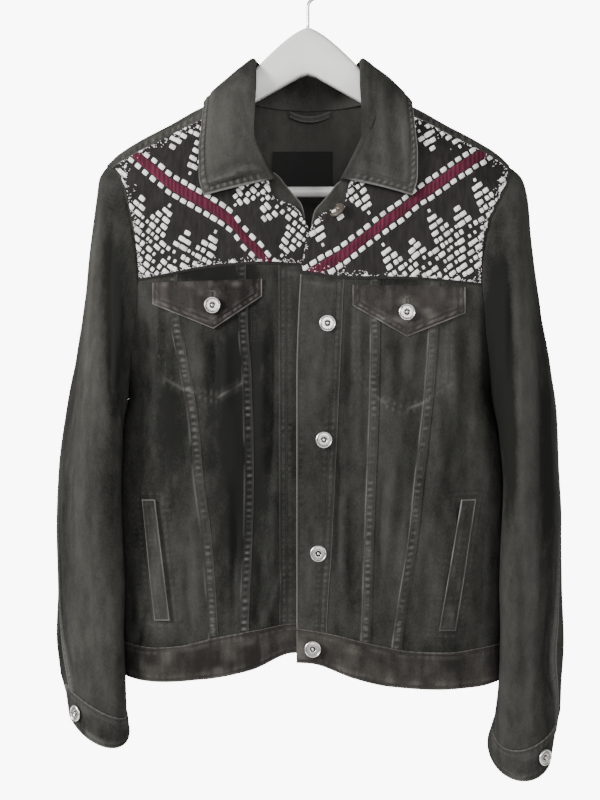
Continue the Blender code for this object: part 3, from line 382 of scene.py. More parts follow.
def body(side, face, out, drop):
    """Points on the outer face of the jacket's body, from their out and drop."""
    out, drop = np.broadcast_arrays(np.asarray(out, dtype=float), np.asarray(drop, dtype=float))
    below = np.clip((drop - shoulder_drop(out)) / SHOULDER_ROUND, 0, 1)
    rise = np.sqrt(1 - (1 - below) ** 2)
    across = np.clip(np.abs(out) / smooth(drop, WIDTH[side]["drop"], WIDTH[side]["half"]), 0, 1)
    turn = (1 - across ** SQUARENESS) ** (1 / SQUARENESS)
    depth = smooth(drop, DEPTH["drop"], DEPTH["front" if face == FRONT else "back"])
    y = face * (depth + ridges(FOLDS[side, face], out, drop)) * rise * turn
    if (side, face) == (RIGHT, FRONT):
        y = y + LAP * ease((LAP_START - out) / (LAP_START - LAP_EDGE)) * ease(rise)
    return np.stack([side * out, y, -drop], axis=-1)


def body_normal(side, face, out, drop):
    """Unit directions out of the body's outer face."""
    near = 0.05
    out, drop = np.broadcast_arrays(np.asarray(out, dtype=float), np.asarray(drop, dtype=float))
    half = smooth(drop, WIDTH[side]["drop"], WIDTH[side]["half"])
    wider, higher = np.minimum(out + near, half), np.maximum(drop - near, shoulder_drop(out))
    sideways = body(side, face, wider, drop) - body(side, face, out - near, drop)
    downwards = body(side, face, out, drop + near) - body(side, face, out, higher)
    return unit(np.cross(sideways, downwards) * side * face)


def row_drop(side, face, out, row):
    """Drop of a row at an out: 0 is the shoulder ridge, 1 the yoke seam, 2 the waistband seam, 3 the hem."""
    lines = [shoulder_drop(out)] + [smooth(out, line["out"], line["drop"]) for line in SEAM_LINES[side, face]]
    return lines[0] + sum(np.clip(row - i, 0, 1) * (lines[i + 1] - lines[i]) for i in range(3))


def edge_out(side, face, row):
    """Out of the armhole or the side seam at each row."""
    row = np.asarray(row, dtype=float)
    low, high = np.full(row.shape, EDGE_BRACKET[0]), np.full(row.shape, EDGE_BRACKET[1])
    for _ in range(EDGE_HALVINGS):
        middle = (low + high) / 2
        drop = row_drop(side, face, middle, row)
        arm_line = smooth(drop, ARMHOLE[side, face]["drop"], ARMHOLE[side, face]["out"])
        side_seam = smooth(drop, WIDTH[side]["drop"], WIDTH[side]["half"])
        inside = middle < np.where(drop < UNDERARM_DROP, arm_line, side_seam)
        low, high = np.where(inside, middle, low), np.where(inside, high, middle)
    return low


def row_of(side, face, out, drop):
    """Row of a point between the yoke seam and the hem."""
    lines = [smooth(out, line["out"], line["drop"]) for line in SEAM_LINES[side, face]]
    return (1 + np.clip((drop - lines[0]) / (lines[1] - lines[0]), 0, 1)
            + np.clip((drop - lines[1]) / (lines[2] - lines[1]), 0, 1))


def lumps(x, y, size_x, size_y, seed):
    """Soft uneven lumps between -1 and 1 that repeat nowhere near."""
    heights = np.random.default_rng(seed).uniform(-1, 1, (64, 64))
    u, v = x / size_x, y / size_y
    i, j = np.floor(u).astype(int), np.floor(v).astype(int)
    s, t = ease(u - i), ease(v - j)
    corner = [[heights[(i + a) % 64, (j + b) % 64] for b in (0, 1)] for a in (0, 1)]
    return ((corner[0][0] * (1 - s) + corner[1][0] * s) * (1 - t)
            + (corner[0][1] * (1 - s) + corner[1][1] * s) * t)


def uneven(along, size, seed):
    """Chance values between -1 and 1 along a line, that change over about one size."""
    return lumps(along, along * 0, size, 9, seed)


def ripple(along, wander, pitch):
    """Waves of one pitch between -1 and 1, pushed to and fro by a wander."""
    return np.cos(2 * math.pi * (along + wander) / pitch)


STRIP_HALF = 4.8           # half width of a felled seam's strip
STITCH_BESIDE = 3.6        # its rows of stitches lie this far from its middle
STRIP_RAISED = 0.9
PUCKER_PITCH = 6.6
PUCKER_HEIGHT = 0.6


def puckers(along, seed):
    """Waves along a row of stitches, each as long and as strong as chance has it."""
    wave = ripple(along, 3.2 * uneven(along, 21, seed), PUCKER_PITCH)
    strength = 0.45 + 0.7 * uneven(along, 8, seed + 1) + 0.4 * uneven(along, 47, seed + 2)
    return wave * np.clip(strength, 0.05, 1.4)


def felled(beside, along, seed=0):
    """Height of a felled seam: a strip with a folded edge on its outer side, that puckers between its two rows
    of stitches. Beside is measured outwards from its middle."""
    strip = STRIP_RAISED * ease(beside + STRIP_HALF + 0.5) * (beside < STRIP_HALF)
    middle = uneven(along, 9, seed + 3)
    inside = puckers(along, seed) * hump(beside - middle, 2.0)
    stitched = -0.25 * (hump(beside - STITCH_BESIDE, 0.7) + hump(beside + STITCH_BESIDE, 0.7))
    return strip + PUCKER_HEIGHT * inside + stitched


CREASES = {
    (RIGHT, FRONT): table(FOLD_COLUMNS,
                          (106, 385, 104, 455, 6, 1.8), (93, 385, 95, 450, 5, -2.0), (82, 380, 84, 470, 6, 1.4),
                          (45, 340, 47, 520, 6, 1.6), (36, 350, 38, 560, 4, -1.8), (152, 345, 150, 430, 6, 1.6),
                          (162, 360, 160, 470, 5, -1.6), (133, 520, 128, 610, 8, 2.2), (146, 500, 144, 560, 5, -1.6),
                          (118, 560, 108, 660, 7, 1.8), (124, 600, 118, 690, 5, -1.8), (84, 520, 78, 640, 7, 1.8),
                          (73, 560, 75, 680, 4, -1.6), (34, 510, 36, 650, 7, 2.2), (44, 600, 52, 690, 5, -1.8),
                          (22, 620, 44, 690, 5, 1.6), (176, 620, 168, 700, 6, 1.8), (160, 660, 176, 715, 4, -1.4)),
    (LEFT, FRONT): table(FOLD_COLUMNS,
                         (44, 345, 42, 470, 5, -2.2), (52, 350, 50, 520, 5, 1.4), (80, 390, 84, 450, 6, 1.6),
                         (94, 395, 92, 460, 5, -1.6), (108, 385, 104, 440, 6, 1.6), (148, 360, 150, 470, 7, 1.6),
                         (160, 380, 158, 520, 6, -1.8), (130, 450, 134, 560, 7, 1.8), (88, 500, 80, 610, 7, 1.8),
                         (76, 520, 72, 640, 4, -1.4), (100, 560, 90, 680, 6, 1.6), (40, 520, 36, 660, 6, 1.8),
                         (32, 480, 30, 640, 4, -1.8), (120, 600, 118, 700, 6, -1.6), (178, 560, 170, 690, 6, -2.4),
                         (150, 560, 168, 610, 5, -1.6), (12, 520, 6, 690, 7, 1.2), (48, 650, 44, 700, 5, -1.2)),
    (RIGHT, BACK): table(FOLD_COLUMNS,
                         (60, 330, 66, 470, 8, 1.8), (20, 310, 16, 420, 7, 1.4), (150, 360, 150, 500, 8, 2.0),
                         (120, 430, 106, 600, 8, -2.0), (50, 520, 44, 690, 8, 1.8), (30, 560, 34, 700, 5, -1.6),
                         (160, 560, 158, 700, 7, 1.8), (140, 600, 132, 705, 5, -1.6), (84, 600, 80, 700, 6, 1.4)),
    (LEFT, BACK): table(FOLD_COLUMNS,
                        (55, 340, 58, 460, 7, -1.6), (72, 330, 76, 480, 7, 1.6), (155, 350, 150, 520, 8, 2.0),
                        (112, 440, 104, 590, 7, -2.0), (24, 540, 20, 690, 7, 1.6), (60, 580, 52, 700, 7, 1.8),
                        (166, 570, 160, 700, 7, 1.6), (130, 610, 126, 705, 5, -1.6), (90, 560, 88, 700, 5, 1.4)),
}
POCKET_BAG = {             # stitched outline of the chest pocket's bag, from its inner side to its outer side
    RIGHT: table("out drop", (56, 345), (57, 395), (66, 441), (75, 447), (92, 457), (127, 447), (144, 437),
                 (149, 400), (149, 345)),
    LEFT: table("out drop", (48, 350), (48, 395), (50, 440), (73, 459), (95, 469), (116, 461), (141, 441),
                (142, 400), (142, 350)),
}
WELT = {
    RIGHT: table("drop inner outer", (559, 154, 167.3), (681, 139.7, 155)),
    LEFT: table("drop inner outer", (559, 154, 169), (691, 132, 148)),
}
WELT_SEWING = ((3.0, 0.7), (8.5, 0.35))     # rows of stitches round a welt: how far out, and how deep
EDGE_ROWS = np.linspace(0, 3, 601)
SIDE_EDGE = {(side, face): edge_out(side, face, EDGE_ROWS) for side in SIDE_NAMES for face in (FRONT, BACK)}


def edge_at(side, face, row):
    """Out of the armhole or the side seam, read from a fine table."""
    return np.interp(row, EDGE_ROWS, SIDE_EDGE[side, face])


def beside_line(out, drop, line_out, line_drop):
    """Distance from a broken line, and how far along it the nearest point lies."""
    nearest, run, start = np.full(np.shape(out), 1e9), np.zeros(np.shape(out)), 0.0
    for i in range(len(line_out) - 1):
        across, down = line_out[i + 1] - line_out[i], line_drop[i + 1] - line_drop[i]
        length = math.hypot(across, down)
        t = np.clip(((out - line_out[i]) * across + (drop - line_drop[i]) * down) / length ** 2, 0, 1)
        distance = np.hypot(out - line_out[i] - across * t, drop - line_drop[i] - down * t)
        run = np.where(distance < nearest, start + t * length, run)
        nearest, start = np.minimum(nearest, distance), start + length
    return nearest, run


def sewn_groove(distance, run, seed):
    """Height beside one row of stitches: a narrow groove with faint puckers on both sides."""
    return -0.45 * hump(distance, 1.1) + 0.16 * puckers(run, seed) * hump(distance - 3, 2.6)


def welt_frame(side, grow):
    """Outline of the side pocket's welt, moved out by grow all round."""
    drop, inner, outer = WELT[side].values()
    top, end = drop[0] - grow, drop[1] + grow
    return (np.array([inner[0] - grow, outer[0] + grow, outer[1] + grow, inner[1] - grow, inner[0] - grow]),
            np.array([top, top, end, end, top]))


def felled_seams(side, face):
    """The felled seams of one face of the body."""
    return (INNER_SEAM[side], OUTER_SEAM[side]) if face == FRONT else (BACK_SEAM,)


def sewn(side, face, out, drop):
    """Height that the seams and stitches give the cloth between the yoke and the waistband."""
    row, height = row_of(side, face, out, drop), 0.0
    for i, seam in enumerate(felled_seams(side, face)):
        height = height + felled(out - follow(seam, row), drop, 20 + 3 * i + side)
    from_edge = edge_at(side, face, row) - out
    if face == BACK:
        height = height + 0.6 * felled(from_edge - STRIP_HALF + 0.6, drop, 31) * ease((UNDERARM_DROP + 6 - drop) / 8)
    if face == FRONT:
        bag = POCKET_BAG[side]
        distance, run = beside_line(out, drop, bag["out"], bag["drop"])
        clear = np.minimum(*(np.abs(out - follow(seam, row)) for seam in felled_seams(side, face)))
        low = ease((drop - bag["drop"].max() + 45) / 25)
        height = (height + sewn_groove(distance, run, 40 + side) * ease((clear - STRIP_HALF) / 2) * (0.4 + 0.6 * low)
                  + 0.13 * low * puckers(out, 44 + side) * hump(distance - 3, 3) * (drop < 470)
                  * ease((clear - STRIP_HALF) / 4))
        for grow, deep in WELT_SEWING:
            distance, run = beside_line(out, drop, *welt_frame(side, grow))
            height = height + deep * sewn_groove(distance, run, 50 + side)
    return height


def seam_wear_and_highlight(side, face, out, drop):
    """Wear of the sewn cloth and a painted highlight: a thin light line along one edge of each felled strip, and
    wear on the puckers' tops.
    """
    row = row_of(side, face, out, drop)
    worn = crests(sewn(side, face, out, drop)) * 0.34
    for seam in felled_seams(side, face):
        beside = out - follow(seam, row)
        # Painted highlight: the light line lies on the strip's edge towards the wearer's right, where the key lamp's
        # light falls.
        worn = worn + 0.42 * hump(beside + STRIP_HALF * side, 0.5) * np.clip(
            0.45 + 0.9 * uneven(drop, 19, 57), 0, 1)
        worn = worn + 0.34 * hump(beside, 2.2) * np.clip(puckers(drop, 63), 0, 1) * np.clip(
            0.6 + 0.9 * uneven(drop, 31, 59), 0.1, 1)
    if face == FRONT:
        bag = POCKET_BAG[side]
        distance, run = beside_line(out, drop, bag["out"], bag["drop"])
        low = ease((drop - bag["drop"].max() + 30) / 20)
        worn = worn + 0.5 * low * hump(distance, 1.3) * np.clip(
            0.5 + 0.9 * uneven(run, 12, 65), 0, 1)
    return worn


def relief(side, face, out, drop):
    """Height of the finished cloth above the plain form of the body: its creases, waves and seams."""
    row = row_of(side, face, out, drop)
    height = (1.7 * ridges(CREASES[side, face], out, drop, 1.1) * ease((row - 1) * 14)
              + 1.0 * lumps(out, drop, 21, 90, 3 + side + face) + 0.4 * lumps(out, drop, 9, 30, 11 + side)
              + sewn(side, face, out, drop))
    return height * ease((row - 0.996) * 50) * ease((2.004 - row) * 50)


def cloth_at(side, face, out, drop):
    """Points and directions of the finished cloth between the yoke and the waistband."""
    out, drop = np.broadcast_arrays(out, drop)
    normals = body_normal(side, face, out, drop)
    return body(side, face, out, drop) + normals * relief(side, face, out, drop)[..., None], normals


def body_grid(side, face, rows, inner, outer, columns):
    """Outs and drops of evenly spread points between two edges that are given for each row."""
    rows, inner, outer = (np.asarray(values, dtype=float)[:, None] for values in (rows, inner, outer))
    half = smooth(row_drop(side, face, outer, rows), WIDTH[side]["drop"], WIDTH[side]["half"])
    first, last = np.arcsin(inner / half), np.arcsin(np.clip(outer / half, -1, 1))
    outs = half * np.sin(first + (last - first) * np.linspace(0, 1, columns))
    return outs, row_drop(side, face, outs, rows)


def crests(height, reach=4):
    """0 to 1 where a surface stands above what is round it: there the dye wears off."""
    total = height.astype(float)
    for axis in (0, 1):
        edge = [(reach, reach) if i == axis else (0, 0) for i in (0, 1)]
        run = np.cumsum(np.pad(total, edge, mode="edge"), axis=axis)
        run = np.concatenate([np.zeros_like(np.take(run, [0], axis=axis)), run], axis=axis)
        size = total.shape[axis]
        total = (np.take(run, range(2 * reach + 1, size + 2 * reach + 1), axis=axis)
                 - np.take(run, range(size), axis=axis)) / (2 * reach + 1)
    return np.clip((height - total) / 0.55, 0, 1)


def lengths(path):
    """Distance of each point from the first one along a path, or along each row of a grid."""
    run = np.linalg.norm(np.diff(path, axis=-2), axis=-1).cumsum(axis=-1)
    return np.concatenate([np.zeros_like(run[..., :1]), run], axis=-1)


def border(grid, sides="top bottom first last"):
    """Distance in millimetres of each point from the nearest named edge of a grid."""
    down, across = lengths(grid.swapaxes(0, 1)).T, lengths(grid)
    reach = {"top": down, "bottom": down[-1:] - down, "first": across, "last": across[:, -1:] - across}
    return np.minimum.reduce([reach[name] for name in sides.split()])


def rim_wear(grid, sides, width=0.9):
    """1 along the named edges of a piece and 0 inside it."""
    return np.exp(-(border(grid, sides) / width) ** 2)


# Soft areas of the front where the dye is paler or darker than elsewhere, mixed with painted shade and
# painted light: painted shadow between the sleeves and the body, in the sleeves' inner folds and below the
# yokes above the flaps, and painted light on the sleeves' outer sides and on the wearer's right collar leaf.
FADING_AND_PAINTED_SHADING = table(
    "x drop wide high amount",
    (-62, 500, 40, 170, -0.66), (-140, 460, 22, 110, -0.30), (-172, 620, 14, 90, -0.25),
    (-194, 395, 9, 75, -0.75), (-203, 300, 7, 80, -0.35), (-232, 640, 26, 120, 0.03), (-92, 175, 34, 60, 0.5),
    (-224, 330, 10, 110, 0.25), (-240, 700, 9, 40, 0.25), (218, 520, 11, 190, 0.34), (245, 560, 10, 170, -0.5),
    (186, 400, 10, 75, -1.0), (196, 400, 8, 85, -0.9), (203, 500, 6, 80, -0.6), (222, 380, 10, 110, 0.3),
    (242, 330, 6, 110, -0.3), (36, 480, 40, 170, -0.03), (160, 520, 18, 120, 0.16), (106, 500, 16, 150, -0.2),
    (-95, 480, 14, 150, -0.14), (-220, 800, 46, 24, -0.25), (226, 830, 46, 24, -0.03), (132, 430, 18, 26, 0.25),
    (-126, 425, 14, 24, 0.2), (90, 640, 40, 50, 0.05), (-120, 640, 40, 60, 0.2), (-100, 722, 110, 22, -0.3),
    (90, 722, 110, 22, -0.14), (-105, 331, 52, 8, -0.45), (100, 338, 52, 6, -0.3))


def dye_and_painted_shading(points):
    """How far the colour is paler or darker than its mean: listed soft areas in front that hold faded dye,
    painted shade and painted light, a painted lighter patch on the upper back, and chance elsewhere.
    """
    x, drop = points[:, 0], -points[:, 2]
    front = sum(amount * np.exp(-((x - at) / wide) ** 2 - ((drop - level) / high) ** 2)
                for at, level, wide, high, amount in zip(*FADING_AND_PAINTED_SHADING.values()))
    towards = ease(0.5 - points[:, 1] / 30)
    # Painted light: the middle of the upper back is made paler, so that the inside of the neck looks lit.
    painted_light_upper_back = 0.75 * np.exp(-(x / 75) ** 2 - ((drop - 190) / 55) ** 2) * (1 - towards)
    return 0.5 + towards * front + painted_light_upper_back + 0.22 * lumps(x + 300, drop, 48, 110, 61) * (1.4 - towards)


SHORTEST = 0.0101


def flat_size(grid, most=24):
    """Width, length and area of a grid of cloth laid flat, in metres. Width and length are measured square to
    each other on a coarse grid, as fine creases and slanted edges would add to them."""
    down, across = np.diff(grid, axis=0), np.diff(grid, axis=1)
    area = np.linalg.norm(np.cross(down[:, :-1], across[:-1]), axis=2).sum() / 1e6
    for axis in (0, 1):
        count = grid.shape[axis]
        grid = np.take(grid, np.linspace(0, count - 1, min(count, most)).astype(int), axis=axis)
    down, across = np.diff(grid, axis=0), np.diff(grid, axis=1)
    strips, longs = np.linalg.norm(np.cross(down[:, :-1], across[:-1]), axis=2), np.linalg.norm(down, axis=2)
    return (strips.sum(axis=1) / longs.mean(axis=1)).max() / 1000, longs.sum(axis=0).max() / 1000, area


def cloth(node, grids, finish, thick=1.3, lined=False):
    """A piece of cloth from grids of (points on its outer face, directions, wear). Its edges are turned in by
    its thickness, and a lined piece has an inner face too. The wear says where its dye has come off, and along
    the felled strips also where a highlight is painted. The dye mark also holds painted shade and painted light."""
    points, faces, wear, uvs, sizes, start = [], [], [], [], [], 0
    for grid, normals, worn in grids:
        rows, columns = grid.shape[:2]
        outer, out = grid.reshape(-1, 3), normals.reshape(-1, 3)
        index = np.arange(rows * columns).reshape(rows, columns)
        ring = np.concatenate([index[0, :-1], index[:-1, -1], index[-1, :0:-1], index[:0:-1, 0]])
        behind = index.ravel() if lined else ring
        twin = np.zeros(rows * columns, dtype=int)
        twin[behind] = rows * columns + np.arange(len(behind))
        following = np.roll(ring, -1)
        front = grid_faces(rows, columns)
        # no edge is turned in along the middle of the back, where two halves of a piece meet
        turned_in = (np.abs(outer[ring, 0]) > 0.02) | (np.abs(outer[following, 0]) > 0.02)
        made = [front, np.stack([following, ring, twin[ring], twin[following]], axis=1)[turned_in]]
        if lined:
            made.append(front[:, ::-1] + rows * columns)
        made = np.concatenate(made)
        a, b, c = (outer[front[:, i]] for i in range(3))
        if np.sum(np.cross(b - a, c - b) * out[front[:, 0]]) < 0:
            made = made[:, ::-1]
        uv = np.stack(np.broadcast_arrays(lengths(grid[rows // 2])[None, :], lengths(grid[:, columns // 2])[:, None]),
                      axis=-1).reshape(-1, 2) / 1000
        points += [outer, outer[behind] - out[behind] * thick]
        wear += [worn.ravel(), worn.ravel()[behind]]
        uvs += [uv, uv[behind]]
        faces.append(made + start)
        start += rows * columns + len(behind)
        sizes.append(flat_size(grid))
    points = np.concatenate(points)
    made = piece(f"{node}_cloth", points, np.concatenate(faces).tolist(), finish, [node],
                 {"worn": np.clip(np.concatenate(wear), 0, 1), "dye_and_painted_shading": dye_and_painted_shading(points)}, np.concatenate(uvs))
    widths, longest, areas = zip(*sizes)
    width, length = sum(widths), max(SHORTEST, *longest)
    area = min(max(sum(areas), 0.31 * width * length), width * length)

STITCH_PITCH, STITCH_LENGTH, STITCH_HALF, STITCH_HEIGHT = 3.3, 2.5, 0.33, 0.32


def stitches(name, lines, finish):
    """Rows of stitches as one mesh. Each stitch is a raised bar of thread that dips into the cloth."""
    points, faces, start = [], [], 0
    for path, normals in lines:
        run = lengths(path)
        starts = np.arange(0.5, run[-1] - STITCH_LENGTH, STITCH_PITCH)
        ends = starts + STITCH_LENGTH
        head, tail, up = (np.stack([np.interp(at, run, values[:, k]) for k in range(3)], axis=-1)
                          for at, values in ((starts, path), (ends, path), (starts, normals)))
        up = unit(up)
        across = unit(np.cross(tail - head, up)) * STITCH_HALF
        head, tail = head - up * 0.06, tail - up * 0.06
        corners = np.stack([head - across, head + across, tail + across, tail - across,
                            head * 0.8 + tail * 0.2 + up * STITCH_HEIGHT,
                            head * 0.2 + tail * 0.8 + up * STITCH_HEIGHT], axis=1)
        for i in range(len(starts)):
            n = start + 6 * i
            faces += [(n, n + 1, n + 4), (n + 2, n + 3, n + 5), (n + 1, n + 2, n + 5, n + 4),
                      (n + 3, n, n + 4, n + 5)]
        points.append(corners.reshape(-1, 3))
        start += 6 * len(starts)
    piece(name, np.concatenate(points), faces, finish)


def on_top(grid, normals, *places):
    """Paths of stitches that lie just above a grid, at the named places of it."""
    return [(grid[place] + normals[place] * 0.1, normals[place]) for place in places]


def seam_row(side, face, seam, offset, rows):
    """Path and directions of a row of stitches beside a seam of the body."""
    outs = follow(seam, rows) + offset
    return cloth_at(side, face, outs, row_drop(side, face, outs, rows))


def denim_finish(name, dark, light, faded):
    """Washed black twill: a mottled dye with painted shade and painted light mixed into its tone, fine heather,
    faded crests with a painted highlight along the felled strips, and a diagonal weave.
    """
    made = Finish(name, specular_ior_level=0.12)
    wash = made.noise(24, 3, 0.5, (1, 1, 0.16))
    blots = made.noise(90, 3, 0.6, (1, 1, 0.45))
    heather = made.noise(900, 3, 0.7, (1, 1, 0.5))
    cloth_uv = made.node("ShaderNodeUVMap", {"uv_map": "cloth"}, {})
    across = made.node("ShaderNodeSeparateXYZ", {}, {0: cloth_uv})
    down = made.node("ShaderNodeSeparateXYZ", {}, {0: cloth_uv}, 1)
    twill = (across * 5200 + down * 3900).maths("SINE")
    worn = made.marked("worn")
    # The dye mark brings painted shade and painted light into the tone as well as faded dye.
    tone = (made.marked("dye_and_painted_shading") * 0.9 + wash * 0.9 + blots * 0.65 + heather * 0.7 - 1.22).clipped()
    colour = made.mixed(tone, dark, light)
    colour = made.mixed((worn * (heather * 1.1 + 0.45)).clipped(), colour, faded)
    made.shows(colour, heather * 0.12 + 0.78, twill * 0.12 + heather, 0.00022)
    return made


denim = denim_finish("black_denim", (0.0082, 0.0082, 0.0068, 1), (0.0712, 0.0702, 0.0626, 1),
                     (0.175, 0.171, 0.157, 1))
thread = Finish("black_thread", roughness=0.7, specular_ior_level=0.2)
thread.shows(thread.mixed(thread.noise(900), (0.012, 0.012, 0.011, 1), (0.045, 0.044, 0.040, 1)))

FOLD_CLEAR = 0.05          # between a folded edge and the panel that it lies on
PANEL_ROWS = np.linspace(1.0, 2.0, 280)
for side, word in SIDE_NAMES.items():
    inner_fold = follow(INNER_SEAM[side], PANEL_ROWS) + STRIP_HALF
    outer_fold = follow(OUTER_SEAM[side], PANEL_ROWS) + STRIP_HALF
    band_seam = follow(BAND_SEAM[side], PANEL_ROWS)
    arm_edge = edge_at(side, FRONT, PANEL_ROWS)
    for part, first, last, columns in (
            ("front_centre", band_seam + FOLD_CLEAR, inner_fold - FOLD_CLEAR, 52),
            ("front_middle", inner_fold + FOLD_CLEAR, outer_fold - FOLD_CLEAR, 64),
            ("front_side", outer_fold + FOLD_CLEAR, arm_edge + 0.15, 76)):
        outs, drops = body_grid(side, FRONT, PANEL_ROWS, first, last, columns)
        grid, normals = cloth_at(side, FRONT, outs, drops)
        worn = seam_wear_and_highlight(side, FRONT, outs, drops)
        cloth(f"{part}_{word}", [(grid, normals, worn)], denim)
    stitches(f"front_seam_stitches_{word}",
             [seam_row(side, FRONT, seam, offset, PANEL_ROWS[2:-2])
              for seam in felled_seams(side, FRONT) for offset in (-STITCH_BESIDE, STITCH_BESIDE)], thread)


# Front bands
# A folded strip of denim finishes each front edge, the left one lying on the right one. It is sewn down
# along both of its edges.

BAND_THICK = 2.4
for side, word in SIDE_NAMES.items():
    outs, drops = body_grid(side, FRONT, PANEL_ROWS, follow(FRONT_EDGE[side], PANEL_ROWS) + SEAM / 2,
                            follow(BAND_SEAM[side], PANEL_ROWS) - FOLD_CLEAR, 34)
    grid, normals = cloth_at(side, FRONT, outs, drops)
    height = np.zeros(outs.shape) + 0.5 * ease((PANEL_ROWS[:, None] - 1.0) * 40)
    sewing = ((FRONT_EDGE[side], 2.0, 60, 0.3), (BAND_SEAM[side], -7.6, 61, 0.45), (BAND_SEAM[side], -1.6, 62, 0.5))
    for seam, offset, seed, deep in sewing:
        height += sewn_groove(np.abs(outs - follow(seam, PANEL_ROWS)[:, None] - offset), drops, seed) * deep
    grid = grid + normals * height[..., None]
    worn = crests(height) * 0.5 + rim_wear(grid, "first") + rim_wear(grid, "last", 0.6) * 0.3
    cloth(f"front_band_{word}", [(grid, normals, worn)], denim, BAND_THICK)
    lines = [seam_row(side, FRONT, seam, offset, PANEL_ROWS[2:-2]) for seam, offset, *_ in sewing]
    stitches(f"front_band_stitches_{word}", [(path + up * 0.45, up) for path, up in lines], thread)


# Front yokes
# The yokes are cut from a black cloth woven with white floats and a maroon band, and the left one laps
# over the right. Their cut floats fray into short white ends along every edge.

BAND_LINE = {
    RIGHT: table("out drop", (-10, 366), (20, 341), (38.6, 322.8), (46.7, 312.6), (56.8, 302.5), (66.9, 292.4),
                 (76.1, 279.2), (88.2, 270.1), (104.4, 260), (122.7, 249.8), (139.9, 239.7), (155.1, 226.6),
                 (165.6, 217.4), (210, 178)),
    LEFT: table("out drop", (-10, 340), (4, 330.9), (17.1, 322.8), (33.3, 313.7), (50.5, 300.5), (64.7, 289.3),
                (79.9, 277.2), (96.1, 266.1), (111.3, 252.9), (129.6, 240.7), (148.8, 226.6), (167, 214.4),
                (210, 186)),
}
YOKE_CHART = (             # floats below the band, row by row: a place along the repeat and a kind of float
    "0t",
    "0h 1.1F",
    ".9L 2.8F 7.4F",
    "1.5F 3.3h 4.5h 7.3F 8.8F",
    "1.8h 2.9h 4.6F 5.8t 7t 8.4L 10.3F",
    ".2h 1.7F 3.5h 4.5t 5.5h 7.2h 8.4h 10.7t",
    "0t 1.9t 3.3F 5t 5.8t 7t 8.3L 10.5t",
    ".2t 1.5F 4t 5.4F 7.2h 8.6F 10.7h 11.7h",
    "1F 2.6h 4.2t 5.4F 7t 8.4L 10.9F",
    ".2h 1.6F 3.3h 4.5h 6F 7.6h 9F 11t",
    ".9L 2.9F 4.6h 5.8h 7.3F 9.2h 10.5F",
)
FLOATS = {"L": 8.8, "F": 7.0, "h": 4.4, "t": 2.9}      # lengths along the band
REPEAT = 12                # places in one repeat
CHART_STEP = 3.87          # from place to place, measured across the jacket
CHART_ROW = 8.9            # from row to row, measured downwards
FIRST_ROW, BESIDE_BAND = 22.0, 9.7         # drops of the chart's first row and of the band's own floats
TIP_OUT = {RIGHT: 93.2, LEFT: 75.8}        # a pointed tip below the band
TIP_ABOVE = {RIGHT: 119.5, LEFT: 61.6}     # and one above it
FLOAT_HIGH = 5.15
YOKE_LIFT = 0.5


def band_drop(side, out):
    """Drop of the middle of the maroon band."""
    return np.interp(out, BAND_LINE[side]["out"], BAND_LINE[side]["drop"])


def yoke_row(side, out, drop):
    """Row of a point on the front yoke."""
    ridge, seam = shoulder_drop(out), follow(SEAM_LINES[side, FRONT][0], out)
    return (drop - ridge) / (seam - ridge)


def yoke_at(side, out, drop, lift=0.0):
    """Points and directions of the front yoke's cloth."""
    out, drop = np.broadcast_arrays(out, drop)
    normals = body_normal(side, FRONT, out, drop)
    height = YOKE_LIFT + 0.5 * lumps(out, drop, 34, 50, 71 + side) + lift
    return body(side, FRONT, out, drop) + normals * np.asarray(height)[..., None], normals


def woven_finish(name, dark, light, bump):
    """Coarse yarn: its colour is marked from dark to light at each point."""
    made = Finish(name, specular_ior_level=0.2)
    yarn = made.noise(1400, 2, 0.6)
    tone = (made.marked("worn") * 0.75 + yarn * 0.4 - 0.05).clipped()
    made.shows(made.mixed(tone, dark, light), yarn * 0.1 + 0.8, yarn, bump)
    return made


ground = Finish("woven_ground", specular_ior_level=0.08)
ribs = (ground.node("ShaderNodeSeparateXYZ", {}, {0: ground.place()}) * 2600).maths("SINE")
slub = ground.noise(260, 3, 0.6, (1, 1, 0.25))
ground.shows(ground.mixed((slub * 1.1 + ribs * 0.1 - 0.15).clipped(), (0.0070, 0.0062, 0.0058, 1),
                          (0.0330, 0.0300, 0.0280, 1)), height=ribs * 0.3 + slub, relief=0.00035)
white_yarn = woven_finish("white_yarn", (0.20, 0.18, 0.17, 1), (0.96, 0.94, 0.93, 1), 0.0004)
maroon_yarn = woven_finish("maroon_yarn", (0.028, 0.004, 0.009, 1), (0.155, 0.020, 0.048, 1), 0.0004)


def clipped_to_yoke(side, out, drop):
    """Points moved to the nearest place inside the yoke's edges."""
    row = np.clip(yoke_row(side, out, drop), STRIP_ROW[side] + 0.006, 0.985)
    seam = smooth(out, SEAM_LINES[side, FRONT][0]["out"], SEAM_LINES[side, FRONT][0]["drop"])
    drop = shoulder_drop(out) + row * (seam - shoulder_drop(out))
    out = np.clip(out, follow(FRONT_EDGE[side], row) + 0.7,
                  edge_at(side, FRONT, row) - 0.7)
    return out, drop


def float_patch(side, out, drop, long, high, slope, shade):
    """One float of yarn: a small pillow that lies along the band, cut off at the yoke's edge."""
    s, t = np.meshgrid((-1, -0.82, 0, 0.82, 1), (-1, -0.78, 0, 0.78, 1))
    along, across = s * long / 2 * (1 - 0.10 * t ** 2), t * high / 2 * (1 - 0.12 * s ** 2)
    lean = math.hypot(1, slope)
    outs = out + (along - across * slope * 0.8) / lean
    drops = drop + (along * slope + across) / lean
    cut_outs, cut_drops = clipped_to_yoke(side, outs, drops)
    if np.ptp(cut_outs) * np.ptp(cut_drops) < 0.3 * np.ptp(outs) * np.ptp(drops):
        return None
    rise = 0.7 * np.clip(1 - s ** 8, 0, 1) * np.clip(1 - t ** 8, 0, 1) + 0.05
    points, _ = yoke_at(side, cut_outs, cut_drops, rise)
    return points, np.full(s.shape, shade)


